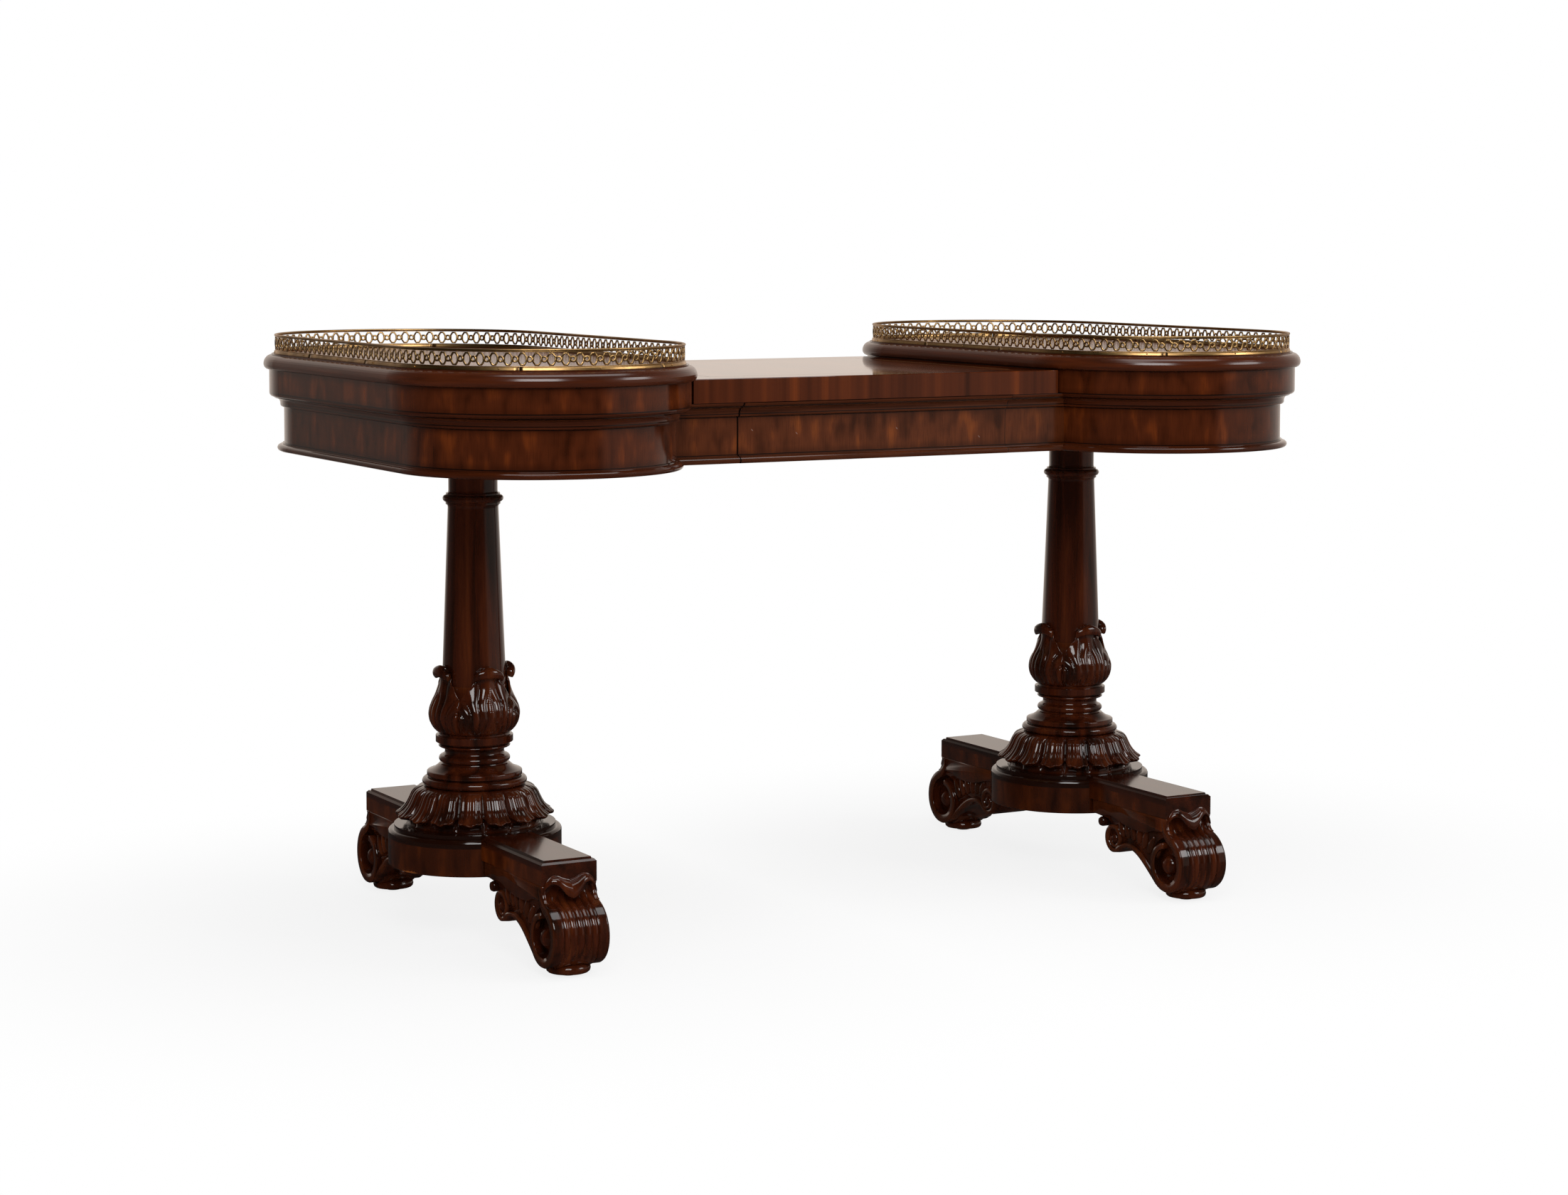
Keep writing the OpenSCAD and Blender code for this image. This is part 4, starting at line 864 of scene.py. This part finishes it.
def lower_ribbon():
    """The ribbon from the heel of the large volute back to the small one."""
    low = bend((272.0, 18.5), (258.0, 30.0), (243.0, 41.0), 8)
    low += bend((243.0, 41.0), (222.0, 57.0), (204.0, 58.0), 8)[1:]
    low += bend(low[-1], (190.0, 58.0), (180.3, 50.2), 6)[1:]
    low += spiral(INNER, 20.0, 21.5, -52.0, -240.0, 26)[1:]
    coil = spiral(INNER, 21.5, 8.0, -240.0, -560.0, 36)[1:]
    thick = [(6.5, 0.0)] * len(low) + [(6.5 - 3.5 * i / len(coil), 0.0) for i in range(len(coil))]
    return ribbon(low + coil, 36.8, thick, 0, 0.0)


def foot_side():
    """One side of a foot: the cheek that the arm's side runs down into, the bosses and the petals."""
    cheek = [(118.0, 115.0), (296.8, 115.0)] + bend((296.8, 115.0), (294.0, 103.0), (306.0, 93.0), 7)[1:]
    cheek += bend((306.0, 93.0), (272.0, 98.0), (250.0, 88.0), 8)[1:]
    cheek += bend((250.0, 88.0), (215.0, 84.0), (186.0, 92.0), 8)[1:]
    cheek += bend((186.0, 92.0), (160.0, 100.0), (140.0, 97.0), 6)[1:] + [(118.0, 95.0)]
    parts = [slab(cheek[::-1], 31.5, FOOT_HALF - 0.4)]
    parts += [dome(VOLUTE, 14.5, 13.5, 24.0), dome(INNER, 7.0, 5.0, 32.5)]
    for t in (k / 6 for k in range(7)):
        y, z = 262.0 - 72.0 * t, 42.0 + 30.0 * math.sin(math.pi * (0.12 + 0.42 * t))
        lean = Matrix.Rotation(math.radians(-38 + 62 * t), 4, "X")
        spot = Matrix.Translation((31.5 * MM, y * MM, z * MM)) @ lean
        parts.append(placed(petal(30.0 - 6.0 * t, 13.5, 6.0), spot))
    return parts


def foot_parts(sizes):
    """One scroll foot as at the back of the right end: +Y outwards, X across, about the pedestal axis."""
    parts = [rolled_strap(sizes.reeds, sizes.reed_depth), leaf_fold(FOOT_HALF - 0.4)]
    parts += [*foot_core(), lower_ribbon()]
    for side in (-1, 1):
        parts += [placed(part, Matrix.Diagonal((side, 1, 1, 1))) for part in foot_side()]
    # The knob against the platform, and the pad
    around = circle(1.0, 24)
    knob = [[(x * MM, (133.5 + r * c) * MM, (85.0 + r * d) * MM) for c, d in reversed(around)]
            for x, r in ((-36.0, 3.0), (-35.0, 5.6), (-32.0, 7.0), (32.0, 7.0), (35.0, 5.6), (36.0, 3.0))]
    parts.append(skin(knob))
    pad = [(22.0, 3.9), (25.6, 4.0), (27.4, 5.6), (28.2, 8.6), (27.6, 11.8), (25.2, 14.4), (21.0, 16.4),
           (14.0, 17.6)]
    parts.append(placed(lathed(pad, 48), Matrix.Translation((0, (VOLUTE[0] - 1) * MM, 0))))
    return parts


# Galleries, in metres

# The foot rail's height and section as (out, up), the rim's height and radius
RAIL_H = 0.0046
RAIL = [(-0.0021, 0.0), (0.0026, 0.0), (0.0024, 0.0010), (0.0019, 0.0022), (0.0017, 0.0034), (0.0011, 0.0043),
        (0.0, 0.0048), (-0.0011, 0.0044), (-0.0018, 0.0030), (-0.0021, 0.0010)]
RIM_H, RIM_R = 0.0030, 0.0016
# Where the foot rail is joined, as shares of the loop, and the gap at a joint
RAIL_JOINTS = (0.05, 0.20, 0.30, 0.45, 0.55, 0.70, 0.80, 0.95)
RAIL_GAP = 0.00022
# How far the pins' heads stand out from the fret's middle, their height on the rail and their radius
PIN_REACH, PIN_Z, PIN_R = 0.0022, 0.0024, 0.0011
LOOP_POINTS = 440


def loop_point(share):
    """The point (x, y) at a share of the gallery's loop, from the middle of the +X side, anticlockwise."""
    run = (share % 1.0) * LOOP
    bow = math.pi * GALLERY_R
    # The far half of the loop is the near half turned about the middle
    way = 1
    if run > STRAIGHT_Y + bow + STRAIGHT_Y:
        way, run = -1, run - bow - 2 * STRAIGHT_Y
    if run <= STRAIGHT_Y:
        x, y = GALLERY_R, run
    elif run <= STRAIGHT_Y + bow:
        turn = (run - STRAIGHT_Y) / GALLERY_R
        x, y = GALLERY_R * math.cos(turn), STRAIGHT_Y + GALLERY_R * math.sin(turn)
    else:
        x, y = -GALLERY_R, 2 * STRAIGHT_Y + bow - run
    return way * x, way * y


class Tree(Nodes):
    """Builds one Geometry Nodes tree with named inputs."""

    def __init__(self, name, inputs):
        self.group = bpy.data.node_groups.new(name, "GeometryNodeTree")
        self.nodes, self.links = self.group.nodes, self.group.links
        self.group.interface.new_socket("Geometry", in_out="INPUT", socket_type="NodeSocketGeometry")
        self.group.interface.new_socket("Geometry", in_out="OUTPUT", socket_type="NodeSocketGeometry")
        for key, kind in inputs.items():
            self.group.interface.new_socket(key, in_out="INPUT", socket_type="NodeSocket" + kind)
        self.group.interface.new_socket("Material", in_out="INPUT", socket_type="NodeSocketMaterial")
        self.given = self.nodes.new("NodeGroupInput").outputs

    def math(self, operation, a, b=0.0):
        return self.get("ShaderNodeMath", {0: a, 1: b}, operation=operation)

    def vector(self, x=0.0, y=0.0, z=0.0):
        return self.get("ShaderNodeCombineXYZ", {0: x, 1: y, 2: z})

    def moved(self, geometry, **values):
        """The geometry under a translation, rotation or scale."""
        return self.get("GeometryNodeTransform", {"Geometry": geometry, **values})

    def joined(self, *parts):
        made = self.nodes.new("GeometryNodeJoinGeometry")
        for part in parts:
            self.links.new(part, made.inputs[0])
        return made.outputs[0]

    def path(self):
        return self.get("GeometryNodeMeshToCurve", {"Mesh": self.given["Geometry"]})

    def strip_on(self, curve, width, height):
        """A strip of rectangular section along a level curve."""
        level = self.get("GeometryNodeSetCurveNormal", {"Curve": curve}, mode="Z_UP")
        section = self.get("GeometryNodeCurvePrimitiveQuadrilateral", {"Width": width, "Height": height})
        return self.get("GeometryNodeCurveToMesh", {"Curve": level, "Profile Curve": section})

    def ring(self, sides, across, up, strip, sheet):
        """A flat ring with straight sides; across and up are its widths at the middle of the strip."""
        ring = self.get("GeometryNodeCurvePrimitiveCircle", {"Resolution": sides, "Radius": 0.5})
        ring = self.moved(ring, Rotation=(0, 0, math.pi / sides))
        return self.strip_on(self.moved(ring, Scale=self.vector(across, up, 1.0)), strip, sheet)

    def upright(self, geometry, x=0.0):
        return self.moved(geometry, Translation=self.vector(x), Rotation=(math.pi / 2, 0, 0))

    def along(self, part, count):
        """The part at evenly spaced points of the path, its X axis along it."""
        made = self.put("GeometryNodeCurveToPoints", {"Curve": self.path(), "Count": count}, mode="COUNT")
        tangent = {"Vector": made.outputs["Tangent"]}
        turn = self.get("FunctionNodeAlignRotationToVector", tangent, axis="X", pivot_axis="Z")
        return self.get("GeometryNodeInstanceOnPoints", {
            "Points": made.outputs["Points"], "Instance": part, "Rotation": turn})

    def band(self, width, height, z):
        """A flat band along the path."""
        return self.moved(self.strip_on(self.path(), width, height), Translation=self.vector(z=z))

    def finish(self, geometry):
        real = self.get("GeometryNodeRealizeInstances", {"Geometry": geometry})
        coated = self.get("GeometryNodeSetMaterial", {"Geometry": real, "Material": self.given["Material"]})
        self.links.new(coated, self.nodes.new("NodeGroupOutput").inputs[0])
        return self.group


def gallery_tree():
    """Tall ovals and small eyes in turn between two thin bands."""
    measures = ("Oval width", "Oval height", "Eye", "Strip", "Sheet", "Height", "Pitch")
    tree = Tree("gallery fret", {"Cells": "Int", **{key: "Float" for key in measures}})
    given = tree.given
    strip, sheet, height = given["Strip"], given["Sheet"], given["Height"]
    across, tall, round_eye = (tree.math("ADD", given[key], strip) for key in measures[:3])
    oval = tree.ring(8, across, tall, strip, sheet)
    eye = tree.ring(8, round_eye, round_eye, strip, sheet)
    cell = tree.joined(tree.upright(oval), tree.upright(eye, tree.math("MULTIPLY", given["Pitch"], 0.5)))
    # The bands fill what the ovals leave of the height, and overlap their strips a little
    ring_h = tree.math("ADD", given["Oval height"], tree.math("MULTIPLY", strip, 1.7))
    band_h = tree.math("MULTIPLY", tree.math("SUBTRACT", height, ring_h), 0.5)
    up = tree.math("MULTIPLY", tree.math("SUBTRACT", height, band_h), 0.5)
    down = tree.math("MULTIPLY", up, -1.0)
    return tree.finish(tree.joined(tree.along(cell, given["Cells"]), tree.band(sheet, band_h, up),
                                   tree.band(sheet, band_h, down)))


def pin_tree():
    """Round-headed pins on the outside of the foot rail."""
    tree = Tree("gallery pins", {"Pins": "Int", "Reach": "Float"})
    head = tree.get("GeometryNodeMeshUVSphere", {"Segments": 8, "Rings": 4, "Radius": PIN_R})
    place = tree.vector(y=tree.math("MULTIPLY", tree.given["Reach"], -1.0))
    flat = tree.moved(head, Translation=place, Scale=(1.0, 0.6, 1.0))
    return tree.finish(tree.along(flat, tree.given["Pins"]))


def grown(group, loop, height, inputs):
    """Runs a tree on a closed path at a height, and returns its mesh as points and faces."""
    mesh = bpy.data.meshes.new("path")
    n = len(loop)
    mesh.from_pydata([(p.x, p.y, height) for p in loop], [(i, (i + 1) % n) for i in range(n)], [])
    path = bpy.data.objects.new("path", mesh)
    bpy.context.scene.collection.objects.link(path)
    modifier = path.modifiers.new("tree", "NODES")
    modifier.node_group = group
    for item in group.interface.items_tree:
        if item.in_out == "INPUT" and item.name in inputs:
            modifier[item.identifier] = inputs[item.name]
    made = bpy.data.meshes.new_from_object(path.evaluated_get(bpy.context.evaluated_depsgraph_get()))
    part = [v.co.copy() for v in made.vertices], [tuple(face.vertices) for face in made.polygons]
    path.modifiers.remove(modifier)
    bpy.data.objects.remove(path)
    bpy.data.meshes.remove(made)
    return part


def foot_rail(centre):
    """The foot rail round a tray, in lengths with a fine gap between them."""
    parts = []
    gap, steps = RAIL_GAP / LOOP, 44
    for k, start in enumerate(RAIL_JOINTS):
        stop = RAIL_JOINTS[(k + 1) % len(RAIL_JOINTS)] + (start == RAIL_JOINTS[-1])
        shares = (start + gap + (stop - start - 2 * gap) * i / steps for i in range(steps + 1))
        parts.append(swept([centre + Vector((*loop_point(share), GALLERY_LOW.z)) for share in shares], RAIL))
    return parts


# Stage

# How bright the studio looks in a reflection, by its bearing in degrees from +Y towards +X
STUDIO = [(-180, 0.01), (-70, 0.012), (-38, 0.09), (-22, 0.17), (-4, 0.76), (45, 0.85), (62, 0.60),
          (95, 0.30), (140, 0.29), (149, 0.25), (157, 0.03), (180, 0.01)]
STUDIO_TINT = (1.0, 0.87, 0.77)
WHITE = (1, 1, 1, 1)
FLOOR_HALF = 30


def lamp(name, place, target, width, height, power):
    light = bpy.data.lights.new(name, "AREA")
    light.shape = "RECTANGLE"
    light.size, light.size_y, light.energy = width, height, power
    made = bpy.data.objects.new(name, light)
    made.location = place
    made.rotation_euler = (Vector(target) - Vector(place)).to_track_quat("-Z", "Y").to_euler()
    bpy.context.scene.collection.objects.link(made)


def studio_colour(shade):
    """A white backdrop behind the table and dark cloths at the camera's side."""
    x, y, _ = shade.split(shade.place)
    share = shade.math("MULTIPLY_ADD", shade.math("ARCTAN2", x, y), 0.5 / math.pi, 0.5)
    stops = [((bearing + 180) / 360, [level * t for t in STUDIO_TINT]) for bearing, level in STUDIO]
    return shade.ramp(share, stops)


def floor_material(tone):
    """Near the feet the floor keeps its shadow and has a painted grey halo of shade; further off it runs into
    the white of the backdrop.
    """
    shade = Shade("studio floor")
    shade.nodes.remove(shade.bsdf)
    path = shade.put("LightPath").outputs
    matte = shade.get("BsdfDiffuse", {"Color": (tone, tone, tone, 1)})
    white = shade.get("Emission", {"Color": WHITE})
    x, y, _ = shade.split(shade.place)
    from_foot = shade.length(shade.join(shade.minus(shade.size(x), END_X), y, 0.0))
    # Painted shadow: near the feet less of the floor is white, so it is grey round them even where no shadow
    # falls
    far = shade.mapped(from_foot, 0.20, 1.0, 0.84, 1.0, smooth=True)
    seen = shade.times(shade.math("MAXIMUM", path["Is Camera Ray"], path["Is Transmission Ray"]), far)
    # In a reflection the floor is dark near the table, and further off it shows the studio
    near = shade.mapped(shade.length(shade.place), 0.9, 3.8, 0.05, 1.0, smooth=True)
    mirrored = shade.get("Emission", {"Color": studio_colour(shade), "Strength": near})
    look = shade.blend_shader(seen, matte, white)
    look = shade.blend_shader(shade.times(path["Is Glossy Ray"], 0.94), look, mirrored)
    shade.links.new(look, shade.nodes["Material Output"].inputs["Surface"])
    return shade.material


def surroundings():
    """The studio as polish and brass mirror it, white for the camera and plain light for the rest."""
    shade = Shade("studio", world=True)
    shade.nodes.remove(shade.nodes["Background"])
    path = shade.put("LightPath").outputs
    plain = shade.get("Background", {"Color": WHITE, "Strength": 0.34})
    white = shade.get("Background", {"Color": WHITE, "Strength": 1.0})
    ceiling = shade.mapped(shade.split(shade.place)[2], 0.25, 0.75, 1.0, 0.15, smooth=True)
    mirrored = shade.get("Background", {"Color": studio_colour(shade), "Strength": ceiling})
    look = shade.blend_shader(path["Is Glossy Ray"], plain, mirrored)
    seen = shade.math("MAXIMUM", path["Is Camera Ray"], path["Is Transmission Ray"])
    shade.links.new(shade.blend_shader(seen, look, white), shade.nodes["World Output"].inputs["Surface"])
    return shade.material


# Pieces

def add(name, part, material, slot, *replaced):
    """A piece of the table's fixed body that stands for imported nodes."""
    made = mesh_object(name, *part)
    made.data.materials.append(material)
    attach(made, "table")
    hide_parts(*replaced)
    return made


def dress(material, *nodes):
    """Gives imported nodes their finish."""
    for node in nodes:
        mesh = NODES[node].data
        mesh.materials.clear()
        mesh.materials.append(material)


def finishes():
    return bpy.context.scene.table_finishes


def once(name, build, *args):
    """The material of that name, built the first time that it is asked for."""
    found = bpy.data.materials.get(name)
    return found if found else build(name, *args)


def at_end(side, z=0.0):
    """The move from the middle to an end's axis."""
    return Matrix.Translation((side * END_X, 0, z))


def turnery(axis="z", carved=False):
    name = "carved mahogany" if carved else "turned mahogany " + axis
    return once(name, turned, finishes(), axis, carved)


# Operators, one for each group of pieces

class TABLE_OT_casework(bpy.types.Operator):
    """Finishes the trays, friezes and the frame inside"""
    bl_idname = "table.casework"
    bl_label = "Casework"

    def execute(self, context):
        tones = finishes()
        carcass = once("carcass wood", plain_wood, (0.16, 0.085, 0.045), (0.10, 0.05, 0.026), 30.0, 0.6)
        for end, side in ENDS:
            banding = veneer(f"{end} end banding", tones, side * END_X, side, 2.0 + side)
            dress(banding, f"{end}_front_bow", f"{end}_back_bow", f"{end}_outer_side", f"{end}_inner_side")
            tray = f"{end}_tray_top"
            dress(table_top(f"{end} tray veneer", tray, tones, True, 5.0 + side), tray)
            dress(carcass, f"{end}_end_bottom")
        # The centre and drawer front are paler and greyer, with painted sheen
        centre = veneer("centre banding", tones, seed=7.0, tint=CENTRE_TINT_AND_SHEEN)
        dress(centre, "dummy_drawer_front", *(f"{end}_{face}_flank" for end, _ in ENDS for face, _ in FACES))
        front = veneer("drawer front banding", tones, seed=11.0, tint=CENTRE_TINT_AND_SHEEN, knocks=KNOCKS)
        dress(front, "drawer_front")
        dress(carcass, "well_rails", "well_cheeks", "drawer_runners", "drawer_stops")
        return {"FINISHED"}


class TABLE_OT_games(bpy.types.Operator):
    """Finishes the sliding top, its chessboard and the backgammon well"""
    bl_idname = "table.games"
    bl_label = "Games surfaces"

    def execute(self, context):
        dress(table_top("polished top", "top_panel", finishes(), False, 3.0), "top_panel")
        box = once("boxwood", plain_wood, (0.60, 0.42, 0.21), (0.46, 0.30, 0.14), 60.0, 0.3)
        ebony = once("ebony", plain_wood, (0.030, 0.020, 0.016), (0.012, 0.009, 0.008), 60.0, 0.28)
        well = once("well veneer", plain_wood, (0.26, 0.085, 0.035), (0.15, 0.042, 0.018), 36.0, 0.3)
        dress(box, "light_points", "light_squares")
        dress(ebony, "dark_points", "dark_squares")
        dress(well, "well_floor")
        dress(turnery("y"), "well_bar")
        return {"FINISHED"}


class TABLE_OT_drawer(bpy.types.Operator):
    """Finishes the drawer's lining"""
    bl_idname = "table.drawer"
    bl_label = "Drawer"

    def execute(self, context):
        oak = once("drawer lining", plain_wood, (0.40, 0.25, 0.13), (0.27, 0.155, 0.075), 55.0, 0.55)
        dress(oak, "drawer_left_side", "drawer_right_side", "drawer_back", "drawer_bottom")
        return {"FINISHED"}


class TABLE_OT_pedestals(bpy.types.Operator):
    """Finishes the columns, platforms and arms"""
    bl_idname = "table.pedestals"
    bl_label = "Pedestals"

    def execute(self, context):
        tones = finishes()
        for end, side in ENDS:
            dress(turnery(), f"{end}_column")
            chip = CHIP_BEARING if side < 0 else None
            drum = platform_veneer(f"{end} platform veneer", tones, side * END_X, 13.0 + side, chip)
            dress(drum, f"{end}_platform")
            for face, way in FACES:
                # Each arm's tint; the right arms are darkened as painted shade
                banding = arm_veneer(f"{end} {face} arm veneer", tones, 17.0 + side + 4 * way, ARM_TINTS_AND_SHADE[end])
                dress(banding, f"{end}_{face}_arm")
        return {"FINISHED"}


class TABLE_OT_vases(bpy.types.Operator):
    """Carves the leaf vases at the foot of the columns"""
    bl_idname = "table.vases"
    bl_label = "Leaf vases"

    def execute(self, context):
        sizes = context.scene.table_carving
        leaf = vase_leaf(sizes.vase_groove)
        core = lathed(VASE_CORE, 72, caps=False, closed=True)
        for end, side in ENDS:
            centre = at_end(side, VASE_Z0)
            parts = [placed(leaf, centre @ Matrix.Rotation(math.radians(360 * i / sizes.vase_leaves), 4, "Z"))
                     for i in range(sizes.vase_leaves)]
            parts.append(placed(core, centre))
            add(f"{end}_carved_vase", joined(parts), turnery(carved=True), "turned_mahogany", f"{end}_vase")
        return {"FINISHED"}


class TABLE_OT_bases(bpy.types.Operator):
    """Turns the moulded bases under the vases"""
    bl_idname = "table.bases"
    bl_label = "Turned bases"

    def execute(self, context):
        base = turned_base()
        for end, side in ENDS:
            made = add(f"{end}_moulded_base", placed(base, at_end(side)), turnery(), "turned_mahogany",
                       f"{end}_turned_base")
            made.data.set_sharp_from_angle(angle=math.radians(32))
        return {"FINISHED"}


class TABLE_OT_bells(bpy.types.Operator):
    """Carves the leaf-covered bells on the platforms"""
    bl_idname = "table.bells"
    bl_label = "Leaf bells"

    def execute(self, context):
        sizes = context.scene.table_carving
        bell = bell_surface(sizes.bell_leaves, sizes.bell_groove, sizes.bell_turn, (BELL_Z1 - BELL_Z0) / MM)
        for end, side in ENDS:
            add(f"{end}_carved_bell", placed(bell, at_end(side, BELL_Z0)), turnery(carved=True),
                "turned_mahogany", f"{end}_leaf_bell")
        return {"FINISHED"}


class TABLE_OT_feet(bpy.types.Operator):
    """Carves the scroll feet"""
    bl_idname = "table.feet"
    bl_label = "Scroll feet"

    def execute(self, context):
        foot = joined(foot_parts(context.scene.table_carving))
        for end, side in ENDS:
            for face, way in FACES:
                part = placed(foot, at_end(side) @ Matrix.Diagonal((1, way, 1, 1)))
                add(f"{end}_{face}_scroll_foot", part, turnery(carved=True), "turned_mahogany",
                    f"{end}_{face}_foot")
        return {"FINISHED"}


class TABLE_OT_galleries(bpy.types.Operator):
    """Makes the pierced brass galleries round the trays"""
    bl_idname = "table.galleries"
    bl_label = "Brass galleries"

    def execute(self, context):
        sizes = context.scene.table_gallery
        brass = once("aged brass", aged_brass, finishes())
        fret, pins = gallery_tree(), pin_tree()
        fret_low, fret_high = GALLERY_LOW.z + RAIL_H, GALLERY_HIGH.z - RIM_H
        cells = {"Cells": sizes.cells, "Oval width": sizes.oval_width, "Oval height": sizes.oval_height,
                 "Eye": sizes.eye, "Strip": sizes.strip, "Sheet": sizes.sheet, "Height": fret_high - fret_low,
                 "Pitch": LOOP / sizes.cells, "Material": brass}
        heads = {"Pins": sizes.pins, "Reach": PIN_REACH, "Material": brass}
        for end, side in ENDS:
            centre = Vector((side * END_X, 0, 0))
            loop = [centre + Vector((*loop_point(k / LOOP_POINTS), 0)) for k in range(LOOP_POINTS)]
            parts = [grown(fret, loop, (fret_low + fret_high) / 2, cells)]
            parts.append(grown(pins, loop, GALLERY_LOW.z + PIN_Z, heads))
            parts += foot_rail(centre)
            top = [p + Vector((0, 0, GALLERY_HIGH.z - RIM_R)) for p in loop]
            parts.append(swept(top, circle(RIM_R, 12), closed=True))
            add(f"{end}_brass_gallery", joined(parts), brass, "gallery_brass",
                f"{end}_gallery_front", f"{end}_gallery_back")
        return {"FINISHED"}


class TABLE_OT_ironwork(bpy.types.Operator):
    """Finishes the tie rods and levelling glides"""
    bl_idname = "table.ironwork"
    bl_label = "Rods and glides"

    def execute(self, context):
        glides = (f"{end}_{face}_glide" for end, _ in ENDS for face, _ in FACES)
        dress(once("worn steel", worn_steel), "tie_rods", *glides)
        return {"FINISHED"}


class TABLE_OT_stage(bpy.types.Operator):
    """Sets up the floor, soft boxes, surroundings and camera"""
    bl_idname = "table.stage"
    bl_label = "Stage"

    def execute(self, context):
        stage = context.scene.table_stage
        scene = context.scene
        corners = [(x * FLOOR_HALF, y * FLOOR_HALF, 0) for x, y in ((-1, -1), (1, -1), (1, 1), (-1, 1))]
        floor = mesh_object("studio floor", corners, [(0, 1, 2, 3)], False)
        floor.data.materials.append(floor_material(stage.floor_tone))

        lamp("front soft box", (-1.7, -3.2, 2.6), (0.0, 0.0, 0.55), 1.9, 1.3, stage.key)
        lamp("right soft box", (2.6, -2.6, 2.2), (0.2, 0.0, 0.5), 1.5, 1.2, stage.key * 0.5)
        lamp("top soft box", (0.0, -1.0, 3.3), (0.0, 0.0, 0.5), 3.0, 1.6, stage.fill)
        scene.world = surroundings()

        scene.view_settings.view_transform = "Standard"
        eye = bpy.data.cameras.new("photo camera")
        eye.lens = stage.lens
        eye.sensor_width = 36.0
        eye.shift_y = stage.shift
        eye.clip_end = 100.0
        camera = bpy.data.objects.new("photo camera", eye)
        scene.collection.objects.link(camera)
        camera.location = stage.eye
        camera.rotation_euler = (math.pi / 2 - stage.tilt, -0.001, -stage.heading)
        scene.camera = camera
        return {"FINISHED"}


class TABLE_PT_panel(bpy.types.Panel):
    """Lists the settings and pieces of the games table"""
    bl_idname = "TABLE_PT_panel"
    bl_label = "Games Table"
    bl_space_type = "VIEW_3D"
    bl_region_type = "UI"
    bl_category = "Games Table"

    def draw(self, context):
        for group in GROUPS:
            settings = getattr(context.scene, group)
            box = self.layout.box()
            for key in settings.bl_rna.properties.keys():
                if key not in ("rna_type", "name"):
                    box.prop(settings, key)
        for operator in OPERATORS:
            self.layout.operator(operator.bl_idname)


OPERATORS = (TABLE_OT_casework, TABLE_OT_games, TABLE_OT_drawer, TABLE_OT_pedestals, TABLE_OT_vases,
             TABLE_OT_bases, TABLE_OT_bells, TABLE_OT_feet, TABLE_OT_galleries, TABLE_OT_ironwork,
             TABLE_OT_stage)
GROUPS = {"table_carving": CarvingSizes, "table_gallery": GallerySizes, "table_finishes": FinishColours,
          "table_stage": StageSettings}


def register():
    for cls in (*GROUPS.values(), *OPERATORS, TABLE_PT_panel):
        bpy.utils.register_class(cls)
    for key, cls in GROUPS.items():
        setattr(bpy.types.Scene, key, bpy.props.PointerProperty(type=cls))


def unregister():
    for key in GROUPS:
        delattr(bpy.types.Scene, key)
    for cls in reversed((*GROUPS.values(), *OPERATORS, TABLE_PT_panel)):
        bpy.utils.unregister_class(cls)


def main():
    # What Blender's own new file holds is no part of the table
    for name in ("Cube", "Light", "Camera"):
        if name in bpy.data.objects:
            bpy.data.objects.remove(bpy.data.objects[name])
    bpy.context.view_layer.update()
    register()
    for operator in OPERATORS:
        getattr(bpy.ops.table, operator.bl_idname.split(".")[1])()


if __name__ == "__main__":
    main()
